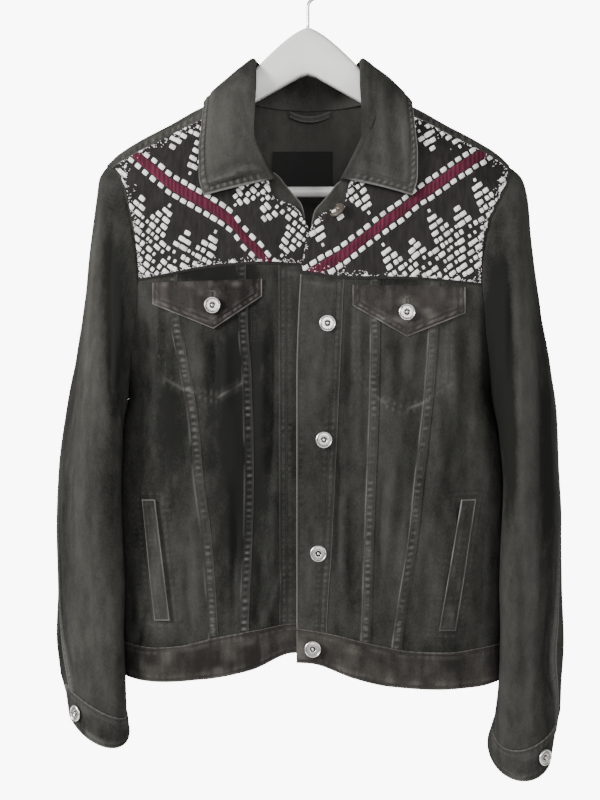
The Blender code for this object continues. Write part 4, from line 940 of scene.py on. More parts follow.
def patches(name, found, finish):
    """Many small grids joined into one piece."""
    points, faces, marks, start = [], [], [], 0
    for grid, shade in found:
        made = grid_faces(*grid.shape[:2])
        a, b, c = (grid.reshape(-1, 3)[made[:, i]] for i in range(3))
        if np.cross(b - a, c - b)[:, 1].sum() > 0:
            made = made[:, ::-1]
        points.append(grid.reshape(-1, 3))
        faces.append(made + start)
        marks.append(shade.ravel())
        start += len(points[-1])
    piece(name, np.concatenate(points), np.concatenate(faces).tolist(), finish,
          marks={"worn": np.concatenate(marks)})


for side, word in SIDE_NAMES.items():
    chance = np.random.default_rng(17 + side)
    rows = np.linspace(STRIP_ROW[side], 1.0, 110)
    arm_edge = edge_at(side, FRONT, rows)
    outs, drops = body_grid(side, FRONT, rows, follow(FRONT_EDGE[side], rows) + SEAM / 2, arm_edge - SEAM / 2, 110)
    grid, normals = yoke_at(side, outs, drops)
    cloth(f"front_yoke_{word}", [(grid, normals, rim_wear(grid, "top bottom first last") * 0.5)], ground)
    floats = []
    for turned, tip in ((1, TIP_OUT[side]), (-1, TIP_ABOVE[side])):
        marks = [(2 * place + 0.5, BESIDE_BAND, FLOATS["F"]) for place in range(-30, 30)]
        marks += [(float(mark[:-1]) + REPEAT * repeat, FIRST_ROW + row * CHART_ROW, FLOATS[mark[-1]])
                  for repeat in range(-6, 6) for row, line in enumerate(YOKE_CHART) for mark in line.split()]
        for place, below, long in marks:
            out = tip + place * CHART_STEP * turned
            if not -20 < out < 220:
                continue
            slope = (band_drop(side, out + 4) - band_drop(side, out - 4)) / 8
            drop = band_drop(side, out) + below * turned
            at = yoke_row(side, out, drop)
            inner = follow(FRONT_EDGE[side], np.clip(at, 0, 1))
            outer = edge_at(side, FRONT, at)
            if not (STRIP_ROW[side] - 0.02 < at < 1.02 and inner - 3 < out < outer + 3):
                continue
            size = chance.uniform(0.90, 1.08, 2)
            shade = 0.55 if chance.random() < 0.12 else chance.uniform(0.85, 1.1)
            high = FLOAT_HIGH * size[1] * (0.75 if long < 3 else 1)
            patch = float_patch(side, out + chance.uniform(-.4, .4), drop + chance.uniform(-.4, .4),
                                long * size[0], high, slope, shade)
            if patch:
                floats.append(patch)
    for count, place in ((90, "top"), (230, "bottom"), (150, "arm"), (90, "front")):
        for _ in range(count):
            if place in ("top", "bottom"):
                at = (STRIP_ROW[side] + chance.exponential(0.018) if place == "top"
                      else 0.99 - chance.exponential(0.011))
                low = float(follow(FRONT_EDGE[side], at))
                out = chance.uniform(low + 2, float(edge_at(side, FRONT, at)) - 2)
            else:
                at = chance.uniform(STRIP_ROW[side] + 0.02, 0.98)
                if place == "arm":
                    out = float(edge_at(side, FRONT, at)) - 0.8 - chance.exponential(2.2)
                else:
                    out = float(follow(FRONT_EDGE[side], at)) + 0.8 + chance.exponential(1.6)
            drop = float(row_drop(side, FRONT, out, at))
            patch = float_patch(side, out, drop, chance.uniform(0.9, 2.4), chance.uniform(0.5, 1.0),
                                chance.uniform(-1.6, 1.2), chance.uniform(0.3, 1.0))
            if patch:
                floats.append(patch)
    patches(f"yoke_floats_{word}", floats, white_yarn)
    outs = np.linspace(-10, 208, 440)
    across = np.linspace(-1, 1, 9)[:, None]
    slope = np.gradient(band_drop(side, outs), outs)
    drops = band_drop(side, outs) + across * 5.9
    wide_outs = np.broadcast_to(outs, drops.shape)
    row = yoke_row(side, wide_outs, drops)
    keep = ((row > STRIP_ROW[side] + 0.006) & (row < 0.985)
            & (wide_outs > follow(FRONT_EDGE[side], np.clip(row, 0, 1)) + 0.5)
            & (wide_outs < edge_at(side, FRONT, row) - 0.7))
    columns = np.flatnonzero(keep.any(axis=0))
    outs, drops, wide_outs = outs[columns], drops[:, columns], wide_outs[:, columns]
    wide_outs, drops = clipped_to_yoke(side, wide_outs, drops)
    rib = 0.5 + 0.5 * ripple(outs, 1.6 * uneven(outs, 11, 81), 4.5)
    # The maroon ribs are made darker in the troughs between them: painted shade, times an uneven tone.
    shade = (0.25 + 0.75 * rib) * (0.5 + 0.3 * uneven(outs, 19, 83 + side)
                                   + 0.3 * lumps(outs, 4 * across, 5, 3, 85 + side))
    points, _ = yoke_at(side, wide_outs, drops, (0.25 + 0.55 * rib) * np.clip(1 - across ** 6, 0, 1) + 0.05)
    patches(f"yoke_band_{word}", [(points, shade)], maroon_yarn)


# Front facings
# Inside the V of the neck the fronts are faced with the same denim, which shows as a narrow triangle on
# each side.

FACING_EDGE = table("row out", (.54, 34), (.57, 28), (.60, 24), (.66, 15), (.72, 6), (.78, 3))
FACING_TUCK, FACING_SPREAD, FACING_GAP, FACING_THICK = 16.0, 90.0, 0.96, 1.2
for side, word in SIDE_NAMES.items():
    rows = np.linspace(FACING_EDGE["row"][0], FACING_EDGE["row"][-1], 36)
    inner = smooth(rows, FACING_EDGE["row"], FACING_EDGE["out"])
    wide = FACING_TUCK + FACING_SPREAD * (rows[-1] - rows)
    outs = inner[:, None] + wide[:, None] * np.linspace(0, 1, 24)
    drops = row_drop(side, FRONT, outs, rows[:, None])
    normals = body_normal(side, FRONT, outs, drops)
    grid = body(side, FRONT, outs, drops) - normals * (CLOTH + FACING_GAP)
    cloth(f"front_facing_{word}", [(grid, normals, rim_wear(grid, "first") * 0.8)], denim,
          FACING_THICK)


# Back
# A yoke of denim comes over both shoulders to the front, where its felled edge holds down the woven
# yokes. A centre panel and two side panels hang from it, joined by felled seams.

BACK_NECK_ROW = 0.29
BACK_NECK = table("row out", (0, 79), (.095, 60), (.2, 34), (BACK_NECK_ROW, 0))
MIDDLE_SPREAD = 30.0


def joined_at_middle(outs, this, other):
    """One side's values, blended over the middle of the back into the other side's mirrored ones."""
    share = hump(outs, MIDDLE_SPREAD)[..., None] / 2
    return this * (1 - share) + other * (-1, 1, 1) * share


shoulder_grids, yoke_lines = [], []
for side in SIDE_NAMES:
    halves = {}
    for face, rows in ((FRONT, np.linspace(STRIP_ROW[side], 0, 16)), (BACK, np.linspace(0, 1.0, 90)[1:])):
        neck = follow(FRONT_EDGE[side], rows) if face == FRONT else follow(BACK_NECK, rows)
        edge = edge_at(side, face, rows)
        first = np.where(neck > 0, neck + SEAM / 2, 0.0)
        outs, drops = body_grid(side, face, rows, first, edge - SEAM / 2, 100)
        normals = body_normal(side, face, outs, drops)
        height = 0.5 * lumps(outs, drops, 40, 50, 91 + side) * ease(rows * 8)[:, None] * ease(outs / 40)
        seam = row_drop(side, face, outs, 1.0)
        if face == BACK:
            height = height + felled(seam - drops - STRIP_HALF, outs, 95)
        else:
            start = row_drop(side, face, outs, STRIP_ROW[side])
            height = height + 0.55 * felled(start - drops - STRIP_HALF, outs, 97)
        plain = body(side, face, outs, drops)
        if face == BACK:
            plain = joined_at_middle(outs, plain, body(-side, BACK, outs, drops))
            normals = unit(joined_at_middle(outs, normals, body_normal(-side, BACK, outs, drops)))
        halves[face] = (plain + normals * height[..., None], normals, height)
    grid, normals, height = (np.concatenate([halves[FRONT][k], halves[BACK][k]]) for k in range(3))
    worn = crests(height) * 0.5 + rim_wear(grid, "top bottom", 0.8) * 0.6
    shoulder_grids.append((grid, normals, worn))
    for i in (2, 8, 98, 103):
        yoke_lines.append((grid[i], normals[i]))
cloth("back_yoke", shoulder_grids, denim)
stitches("back_yoke_stitches", yoke_lines, thread)

centre = {}
for side, word in SIDE_NAMES.items():
    rows = np.linspace(1.0, 2.0, 220)
    seam = follow(BACK_SEAM, rows)
    edge = edge_at(side, BACK, rows)
    outs, drops = body_grid(side, BACK, rows, seam + STRIP_HALF + FOLD_CLEAR, edge - SEAM / 2, 66)
    grid, normals = cloth_at(side, BACK, outs, drops)
    worn = seam_wear_and_highlight(side, BACK, outs, drops)
    cloth(f"back_side_{word}", [(grid, normals, worn)], denim)
    outs, drops = body_grid(side, BACK, rows, 0 * rows, seam + STRIP_HALF - FOLD_CLEAR, 56)
    grid, normals = cloth_at(side, BACK, outs, drops)
    grid = joined_at_middle(outs, grid, cloth_at(-side, BACK, outs, drops)[0])
    centre[side] = grid, normals, seam_wear_and_highlight(side, BACK, outs, drops)
    stitches(f"back_seam_stitches_{word}",
             [seam_row(side, BACK, BACK_SEAM, offset, rows[2:-2]) for offset in (-STITCH_BESIDE, STITCH_BESIDE)],
             thread)
joined = tuple(np.concatenate([centre[RIGHT][k][:, :0:-1], centre[LEFT][k]], axis=1) for k in range(3))
cloth("back_centre", [joined], denim)


# Waistband
# One long band of doubled denim closes the hem. It is sewn on round the whole body with a row of stitches
# along each edge, and its left end laps over the right one with a button.

BAND_LIFT, WAIST_THICK = 0.8, 2.8
rows = np.linspace(2.004, 2.996, 34)
parts = []
for side, face, columns in ((RIGHT, FRONT, 150), (RIGHT, BACK, 110), (LEFT, BACK, 110), (LEFT, FRONT, 150)):
    inner = follow(FRONT_EDGE[side], rows) + SEAM / 2 if face == FRONT else 0 * rows
    edge = edge_at(side, face, rows)
    outs, drops = body_grid(side, face, rows, inner, edge, columns)
    grid, normals = body(side, face, outs, drops), body_normal(side, face, outs, drops)
    if face == BACK:
        grid = joined_at_middle(outs, grid, body(-side, BACK, outs, drops))
    if (side, face) in ((RIGHT, BACK), (LEFT, FRONT)):
        grid, normals = grid[:, ::-1], normals[:, ::-1]
    if parts:
        grid, normals = grid[:, 1:], normals[:, 1:]
    parts.append((grid, normals))
grid, normals = (np.concatenate([part[k] for part in parts], axis=1) for k in range(2))
run = np.tile(lengths(grid[len(rows) // 2]), (len(rows), 1))
down = border(grid, "top")
deep = down[-1:]
wave = ripple(run, 2.4 * lumps(run, down, 23, 30, 101), 6.9)
height = (0.11 * wave * np.clip(0.5 + 0.9 * lumps(run, down, 33, 60, 103), 0, 1.2)
          * (0.2 + hump(down, 7) + hump(deep - down, 7))
          - 0.5 * hump(down - 2.6, 1.1) - 0.5 * hump(deep - down - 2.6, 1.1)
          + 0.8 * lumps(run, down, 31, 26, 105) + 0.5 * lumps(run, down, 13, 17, 107))
height *= ease(border(grid) / 1.2)
waist = grid + normals * (BAND_LIFT + height)[..., None]
worn = (crests(height) * 0.4 + rim_wear(waist, "top bottom first last", 0.8) * (0.3 + 0.12 * wave)
        + 0.22 * np.clip(lumps(run, down, 17, 11, 109), 0, 1) ** 2)
warm_denim = denim_finish("warm_denim", (0.0130, 0.0118, 0.0100, 1), (0.0710, 0.0658, 0.0585, 1),
                          (0.175, 0.163, 0.146, 1))
cloth("waistband", [(waist, normals, worn)], warm_denim,
      WAIST_THICK, lined=True)
stitches("waistband_stitches", on_top(waist, normals, 2, -3), thread)


# Sleeves
# Each sleeve is a top and an under piece of the same denim. The seam at the back is felled, with its raised
# strip on the top piece, and the cap is sewn into the armhole.

SLEEVE_COLUMNS = "outer_out outer_drop inner_out inner_drop depth lean tilt turn"
SLEEVE = {
    RIGHT: table(SLEEVE_COLUMNS,
                 (208.0, 216, 185.6, 450, 46, 0, 0, 0), (216.0, 231, 186.4, 454, 49, 0, 0, 1),
                 (218.6, 248, 187.2, 459, 51, 2, 0, 2), (225.5, 293, 188.5, 468, 55, 8, 0, 5),
                 (234.5, 355, 189.5, 481, 58, 15, 0, 9), (245.7, 417, 190.0, 498, 60, 19, 0, 14),
                 (256.0, 474, 190.5, 518, 60, 22, 0, 20), (263.3, 536, 191.0, 553, 59, 24, 1, 25),
                 (265.0, 593, 189.5, 600, 57, 24, 3, 32), (264.0, 655, 187.5, 657, 53, 24, 6, 40),
                 (264.2, 706, 186.0, 712, 48, 25, 10, 52), (260.0, 750, 185.0, 771, 44, 23, 15, 68)),
    LEFT: table(SLEEVE_COLUMNS,
                (208.0, 216, 188.6, 450, 46, 0, 0, 0), (221.5, 230, 189.4, 454, 49, 0, 0, 2),
                (227.0, 248, 190.4, 459, 51, 2, 0, 4), (233.5, 293, 192.5, 468, 55, 8, 0, 10),
                (243.5, 355, 195.0, 481, 58, 14, 0, 18), (254.5, 417, 196.5, 498, 60, 18, 0, 25),
                (261.7, 474, 198.0, 518, 60, 20, 0, 31), (265.0, 536, 199.5, 553, 59, 21, 1, 38),
                (268.0, 593, 199.0, 600, 57, 21, 3, 46), (268.0, 655, 197.0, 657, 53, 22, 7, 56),
                (269.5, 712, 194.8, 722, 48, 24, 13, 66), (261.5, 774, 191.3, 797, 44, 5, 23, 78)),
}
CAP_FADE = 5.0             # rings over which the armhole's shape turns into an ellipse
CREST_ROW = 0.04
YOKE_ROWS = (0.26, 0.42, 0.57, 0.68, 0.74, 0.82, 1.0)
BACK_YOKE_ROWS = (CREST_ROW, .095, .2, BACK_NECK_ROW, .5, .75, 1.0)
FRONT_STEPS, BACK_STEPS = 12, 10
INNER_COLUMN, BACK_COLUMN = 14, 19
FINER = 6                  # columns for each one that the solid has
SLEEVE_ALONG = np.append(np.linspace(0, 11, 226), [11.001, 11.002, 11.003])
TUCK = 7.0                 # how far a sleeve's end runs on inside its cuff
SLEEVE_CREASES = {         # seen from the front and from behind
    (RIGHT, FRONT): table(FOLD_COLUMNS,
                          (199, 235, 199, 470, 8, -5.0), (222, 250, 228, 520, 12, 3.0), (206, 450, 212, 640, 9, 2.4),
                          (238, 330, 244, 560, 6, -1.8), (250, 480, 250, 640, 7, 1.8), (222, 560, 224, 720, 7, -2.2),
                          (238, 600, 236, 745, 8, 2.2), (204, 640, 200, 745, 6, -1.8), (252, 700, 238, 752, 5, -2.4),
                          (212, 300, 214, 420, 6, 1.4)),
    (LEFT, FRONT): table(FOLD_COLUMNS,
                         (229, 380, 229, 720, 4, 2.6), (237, 380, 238, 720, 6, -2.6), (214, 300, 213, 560, 8, 2.2),
                         (204, 330, 202, 500, 5, -1.8), (222, 250, 224, 420, 6, -1.6), (246, 420, 250, 640, 7, 1.8),
                         (206, 560, 206, 720, 7, 2.0), (216, 600, 218, 760, 5, -1.8), (228, 700, 226, 790, 5, 2.2),
                         (250, 680, 246, 760, 6, -2.0)),
    (RIGHT, BACK): table(FOLD_COLUMNS,
                         (205, 260, 208, 480, 9, -3.5), (224, 300, 232, 520, 10, 2.6), (214, 500, 216, 690, 8, 2.0),
                         (238, 480, 242, 700, 8, -2.2), (204, 600, 202, 730, 6, -1.8)),
    (LEFT, BACK): table(FOLD_COLUMNS,
                        (207, 260, 210, 480, 9, -3.5), (228, 300, 236, 520, 10, 2.6), (216, 500, 218, 690, 8, 2.0),
                        (242, 480, 246, 700, 8, -2.2), (206, 600, 204, 740, 6, -1.8)),
}


def sleeve_ring(side, along, angle):
    """Points round a sleeve. Angle 0 is the outer edge, 90 degrees the front, 180 the inner edge."""
    rings = SLEEVE[side]
    knots = np.arange(len(rings["depth"]), dtype=float)
    at = {name: smooth(along, knots, values) for name, values in rings.items()}
    c, s = np.cos(angle), np.sin(angle)
    half = (at["outer_out"] - at["inner_out"]) / 2
    half = np.sign(half) * np.sqrt(np.maximum(half ** 2 - at["lean"] ** 2, 0))
    out = (at["outer_out"] + at["inner_out"]) / 2 + c * half - s * at["lean"]
    drop = (at["outer_drop"] + at["inner_drop"]) / 2 + c * (at["outer_drop"] - at["inner_drop"]) / 2
    return np.stack([side * out, -s * at["depth"], -(drop + s * at["tilt"])], axis=-1)


def underarm_row(side, face):
    """Row whose outer end is the underarm point."""
    out = ARMHOLE[side, face]["out"][-1]
    yoke, waist = row_drop(side, face, out, 1.0), row_drop(side, face, out, 2.0)
    return 1 + (UNDERARM_DROP - yoke) / (waist - yoke)


def armhole(side):
    """The body's edge from the shoulder tip down the front and up the back: points, directions and the angle
    of each round the sleeve."""
    fronts = [0, CREST_ROW, STRIP_ROW[side], *YOKE_ROWS, *np.linspace(1, underarm_row(side, FRONT), 4)[1:]]
    backs = [*np.linspace(underarm_row(side, BACK), 1, 4), *reversed(BACK_YOKE_ROWS[:-1]), 0]
    found = []
    for face, knots, steps in ((FRONT, fronts, FRONT_STEPS), (BACK, backs, BACK_STEPS)):
        rows = np.interp(np.arange(steps * FINER) / FINER, np.arange(steps + 1), knots)
        outs = edge_out(side, face, rows)
        drops = row_drop(side, face, outs, rows)
        fall = (drops - SHOULDER_TIP_DROP) / (UNDERARM_DROP - SHOULDER_TIP_DROP)
        angles = np.arccos(np.clip(1 - 2 * fall, -1, 1))
        found.append((body(side, face, outs, drops), body_normal(side, face, outs, drops),
                      angles if face == FRONT else 2 * math.pi - angles))
    return (np.concatenate([half[k] for half in found]) for k in range(3))


def grid_normals(grid, closed=False):
    """Directions square to a grid of points; a closed grid joins up along its lines."""
    across = np.roll(grid, -1, axis=1) - np.roll(grid, 1, axis=1) if closed else np.gradient(grid, axis=1)
    return unit(np.cross(np.gradient(grid, axis=0), across))


def sleeve_cloth(side):
    """Points and directions of the whole plain sleeve, ring by ring."""
    edge, edge_normals, angles = armhole(side)
    even = np.concatenate([np.linspace(0, math.pi, FRONT_STEPS * FINER + 1),
                           np.linspace(math.pi, 2 * math.pi, BACK_STEPS * FINER + 1)[1:-1]])
    bulge = edge - sleeve_ring(side, np.zeros_like(angles), angles)
    along = SLEEVE_ALONG[:, None]
    blend = np.minimum(along / CAP_FADE, 1)
    turn = smooth(along, np.arange(12.0), SLEEVE[side]["turn"])
    angle = angles * (1 - blend) + even * blend + np.radians(turn)
    rings = sleeve_ring(side, along, angle) + bulge * (1 - ease(blend))[..., None]
    normals = grid_normals(rings, closed=True) * -side
    normals[-4:] = normals[-5]
    for i, share in ((-3, 0.2), (-2, 0.6), (-1, 1.0)):
        rings[i] = rings[-4] + (rings[-4] - rings[-8]) * share * TUCK / 8 - normals[-5] * (2.6 * share + 0.4)
    near = hump(along, 0.25)[..., None] * np.clip((normals * edge_normals).sum(-1, keepdims=True), 0, 1)
    return rings, unit(normals + edge_normals * near)


for side, word in SIDE_NAMES.items():
    rings, normals = sleeve_cloth(side)
    count = rings.shape[1]
    outs, drops = rings[..., 0] * side, -rings[..., 2]
    from_front = ease(0.5 - rings[..., 1] / 24)
    down = border(np.concatenate([rings, rings[:, :1]], axis=1), "top")[:, :-1]
    around = lengths(rings)
    height = (ridges(SLEEVE_CREASES[side, FRONT], outs, drops, 1.1) * from_front
              + ridges(SLEEVE_CREASES[side, BACK], outs, drops, 1.1) * (1 - from_front))
    turned = np.arange(count) * 2 * math.pi / count
    from_start = ease(np.minimum(turned, 2 * math.pi - turned))
    height = height + 0.9 * lumps(around + 400, down, 22, 80, 111 + side) * from_start
    pucker = ripple(around, 2 * uneven(around, 19, 121), 8.5)
    height = height + 0.35 * pucker * hump(down - 4, 4.5) + 0.9 * ease((down - 1) / 6) - 0.9
    inward = np.clip(-normals[..., 0] * side, 0, 1) ** 2 * from_front
    height = height + 2.2 * inward * ease((drops - 440) / 50) * ease((700 - drops) / 60)
    height = height * ease(down / 3 + 0.15)
    for part, first, last in (("sleeve_top", BACK_COLUMN, FRONT_STEPS + BACK_STEPS + INNER_COLUMN),
                              ("sleeve_under", INNER_COLUMN, BACK_COLUMN)):
        columns = np.arange(first * FINER, last * FINER + 1) % count
        plain, out = rings[:, columns], normals[:, columns]
        strip = 0 * height[:, columns]
        if part == "sleeve_top":
            strip = felled(STRIP_HALF - 0.01 - border(plain, "first"), down[:, columns], 131)
        rise = height[:, columns] + strip
        grid = plain + out * rise[..., None]
        worn = crests(strip) * 0.5 + (rim_wear(grid, "first", 0.7) * 0.5 if part == "sleeve_top" else 0)
        cloth(f"{part}_{word}", [(grid, out, worn)], denim)
        if part == "sleeve_top":
            stitches(f"sleeve_stitches_{word}", [(grid[3:-3, i], out[3:-3, i]) for i in (1, 3)], thread)


# Cuffs
# A band of doubled denim is sewn round the end of each sleeve. Its ends lap at the back seam and close with
# a button.

CUFF_COLUMNS = "outer_out outer_drop inner_out inner_drop depth lean tilt"
CUFF = {
    RIGHT: table(CUFF_COLUMNS, (260.2, 751.2, 184.8, 772.2, 44.2, 23, 15), (252, 783, 183, 790, 43, 17, 23)),
    LEFT: table(CUFF_COLUMNS, (261.7, 775.2, 191.1, 798.2, 44.2, 5, 23), (252, 815, 186.8, 819, 43, 0, 26)),
}
CUFF_SHIFT = {RIGHT: 0.0, LEFT: math.radians(28)}      # the left cuff has turned round on its sleeve
CUFF_LIFT, CUFF_LAP, CUFF_THICK = 0.6, 3.4, 2.4
CUFF_START, CUFF_END = math.radians(4), math.radians(400)
CUFF_LAP_START, CUFF_LAP_TURN = math.radians(300), math.radians(60)
CUFF_BUTTON = math.radians(31)


def cuff_at(side, down, angle):
    """Points on the outer face of a cuff; down is 0 at its seam and 1 at its lower edge."""
    at = {name: values[0] * (1 - down) + values[1] * down for name, values in CUFF[side].items()}
    under = CUFF_LAP * ease((angle - CUFF_LAP_START) / CUFF_LAP_TURN)
    c, s = np.cos(angle + CUFF_SHIFT[side]), np.sin(angle + CUFF_SHIFT[side])
    half = np.sqrt(((at["outer_out"] - at["inner_out"]) / 2) ** 2 - at["lean"] ** 2)
    out = (at["outer_out"] + at["inner_out"]) / 2 + c * (half + CUFF_LIFT - under) - s * at["lean"]
    drop = (at["outer_drop"] + at["inner_drop"]) / 2 + c * (at["outer_drop"] - at["inner_drop"]) / 2
    return np.stack([side * out, -s * (at["depth"] + CUFF_LIFT - under), -(drop + s * at["tilt"])], axis=-1)


for side, word in SIDE_NAMES.items():
    angles = np.linspace(CUFF_START, CUFF_END, 230)[None, :]
    plain = cuff_at(side, np.linspace(0, 1, 30)[:, None], angles)
    normals = grid_normals(plain) * -side
    down, run = border(plain, "top"), lengths(plain)
    deep = down[-1:]
    wave = ripple(run, 2.2 * lumps(run, down, 21, 30, 141 + side), 7.2)
    height = (0.11 * wave * np.clip(0.5 + 0.9 * lumps(run, down, 27, 60, 145), 0, 1.2)
              * (0.2 + hump(down, 7) + hump(deep - down, 6))
              - 0.45 * hump(down - 2.4, 1.0) - 0.45 * hump(deep - down - 2.6, 1.0)
              + 0.8 * lumps(run, down, 24, 40, 143 + side)) * ease(border(plain) / 1.2)
    grid = plain + normals * height[..., None]
    worn = (crests(height) * 0.4 + rim_wear(grid, "top bottom first", 0.8) * (0.45 + 0.12 * wave)
            + 0.22 * np.clip(lumps(run, down, 15, 10, 147), 0, 1) ** 2)
    cloth(f"cuff_{word}", [(grid, normals, worn)], denim, CUFF_THICK, lined=True)
    stitches(f"cuff_stitches_{word}", on_top(grid, normals, np.s_[2, 4:-4], np.s_[-3, 4:-4]), thread)


# Collar
# The collar is one folded piece with its stand. The leaf is stitched twice round its edge, and the cloth
# puckers between the two rows.

COLLAR = table("along neck_out neck_drop neck_lift roll_out roll_y roll_drop edge_out edge_drop stand_off",
               (0.00, 0, 151.5, -0.7, 0, 35, 114, 0, 181, 6),
               (0.20, 27, 150, -0.7, 27, 33, 113, 45, 180, 6),
               (0.38, 52, 147, -0.3, 44, 24, 111, 84, 174, 6),
               (0.52, 71, 144, 0.8, 52.5, 11, 108, 103, 160, 5),
               (0.60, 78.3, 142, 2.2, 55.5, 0, 106, 104.5, 153.7, 4.5),
               (0.68, 74.2, 157, 2.4, 55.5, -13, 118, 105.5, 163, 4.5),
               (0.77, 66.5, 176, 2.4, 55.5, -26, 146, 108, 187, 5),
               (0.86, 58.8, 193, 3.0, 56.5, -38, 186, 110.5, 212, 5),
               (0.93, 48, 214, 3.0, 46, -42, 212, 110, 234, 5),
               (1.00, 37, 238, 3.0, 33.5, -44, 236, 105, 253, 5))
NECK_GAP, COLLAR_THICK, SHOULDER_ALONG, COLLAR_ROLL, LEAF_SWELL = 0.2, 2.2, 0.599, 2.6, 9.0
NECK_TUCK = 2.6            # how far the stand runs on inside the back yoke
STAND_POINTS, FOLD_POINTS, LEAF_POINTS = 22, 9, 44


def collar_section(side, along):
    """Points across the collar, from its neck seam over the roll line to its outer edge."""
    at = {name: float(smooth(along, COLLAR["along"], values)) for name, values in COLLAR.items()}
    face = BACK if along < SHOULDER_ALONG else FRONT
    neck = body(side, face, at["neck_out"], at["neck_drop"])
    neck = neck + body_normal(side, face, at["neck_out"], at["neck_drop"]) * at["neck_lift"]
    neck[2] += NECK_GAP - NECK_TUCK * float(ease((SHOULDER_ALONG - along) / 0.15))
    roll = np.array([side * at["roll_out"], at["roll_y"], -at["roll_drop"]])
    edge = body(side, face, at["edge_out"], at["edge_drop"])
    edge = edge + body_normal(side, face, at["edge_out"], at["edge_drop"]) * at["stand_off"]
    up, fall = unit(roll - neck), unit(edge - roll)
    over = unit(fall - np.dot(fall, up) * up)
    turns = np.linspace(math.pi, 0, FOLD_POINTS)[:, None]
    fold = roll + COLLAR_ROLL * (np.cos(turns) * over + (np.sin(turns) - 1) * up)
    stand = neck + (fold[0] - neck) * np.linspace(0, 1, STAND_POINTS, endpoint=False)[:, None]
    swell = np.cross(np.cross(fall, over), fall)
    t = np.linspace(0, 1, LEAF_POINTS + 1)[1:, None]
    leaf = fold[-1] + (edge - fold[-1]) * t + swell * LEAF_SWELL * t * (1 - t)
    return np.concatenate([stand, fold, leaf])


alongs = np.linspace(0, 1, 120)
sections = [collar_section(RIGHT, along) for along in alongs[::-1]]
sections += [collar_section(LEFT, along) for along in alongs[1:]]
plain = np.array(sections)
normals = grid_normals(plain)
to_edge, to_ends = border(plain, "last"), border(plain, "top bottom")
edge = np.minimum(to_edge, to_ends)
along_edge = np.where(to_edge < to_ends, border(plain, "top"), border(plain, "first"))
leaf = ease((np.arange(plain.shape[1]) - STAND_POINTS - FOLD_POINTS) / 6)[None, :]
wave = ripple(along_edge, 2.4 * uneven(along_edge, 23, 151), 7.0)
height = (0.42 * wave * hump(edge - 4.6, 2.4)
          - 0.55 * hump(edge - 1.8, 0.9) - 0.6 * hump(edge - 8.2, 1.0))
height = rows_sewn = height * leaf
outs, drops = np.abs(plain[..., 0]), -plain[..., 2]
COLLAR_CREASES = {
    RIGHT: table(FOLD_COLUMNS, (96, 120, 96, 215, 5, 0.9), (72, 120, 66, 200, 7, -1.2)),
    LEFT: table(FOLD_COLUMNS, (62, 110, 66, 235, 7, -1.4), (74, 110, 78, 240, 7, 1.3), (88, 130, 90, 230, 6, -1.0),
                (96, 120, 98, 235, 4, 0.8)),
}
for side in SIDE_NAMES:
    this_side = (plain[..., 0] * side > 0) * (plain[..., 1] < 0)
    height = height + ridges(COLLAR_CREASES[side], outs, drops, 1.1) * this_side * leaf * ease(edge / 12)
CRUMPLE = ((104, 241, 88, 236, 1.5), (88, 236, 72, 231, 1.9), (72, 231, 62, 225, 1.9), (62, 225, 46, 226, 1.5),
           (104, 246, 74, 237, -1.4), (74, 237, 48, 232, -1.6), (84, 228, 66, 220, -0.8))
turned_down = (plain[..., 0] < 0) * (plain[..., 1] < 0) * leaf
for out_a, drop_a, out_b, drop_b, rise in CRUMPLE:
    near, _ = beside_line(outs, drops, (out_a, out_b), (drop_a, drop_b))
    height = height + rise * hump(near, 2.4) * turned_down
height = height + 0.6 * lumps(along_edge, edge, 30, 18, 155) * leaf * ease(edge / 10)
grid = plain + normals * (height + COLLAR_THICK / 2)[..., None]
worn = crests(rows_sewn) * 0.5 + hump(edge, 0.8) * leaf * 0.75 + crests(height - rows_sewn) * 0.12
cloth("collar", [(grid, normals, worn)], denim, COLLAR_THICK,
      lined=True)
places = [np.s_[4:-4, i] for i in (-2, -6)] + [np.s_[i, STAND_POINTS + 12:-3] for i in (1, 4, -2, -5)]
stitches("collar_stitches", on_top(grid, normals, *places), thread)


# Pockets
# A pointed flap closes each chest pocket, and a slanted welt each side pocket. Both are doubled denim,
# stitched inside their edges and rubbed light along them.

FLAP = {
    RIGHT: table("out top bottom", (46.5, 337, 354.5), (95, 338.5, 387), (156.5, 340.5, 362)),
    LEFT: table("out top bottom", (44.7, 343, 363.6), (99, 343.7, 395), (158, 345, 371)),
}
SLIT = {RIGHT: (95.9, 355.5), LEFT: (98.9, 362.0)}     # buttonholes
FLAP_THICK, RESTING, WELT_THICK, WELT_GAP = 2.0, 0.6, 1.8, 0.9


def evenly(outs, drops, count=240):
    """Evenly spaced outs and drops along a broken line."""
    length = np.concatenate([[0], np.hypot(np.diff(outs), np.diff(drops)).cumsum()])
    at = np.linspace(0, length[-1], count)
    return [np.interp(at, length, values) for values in (outs, drops)]


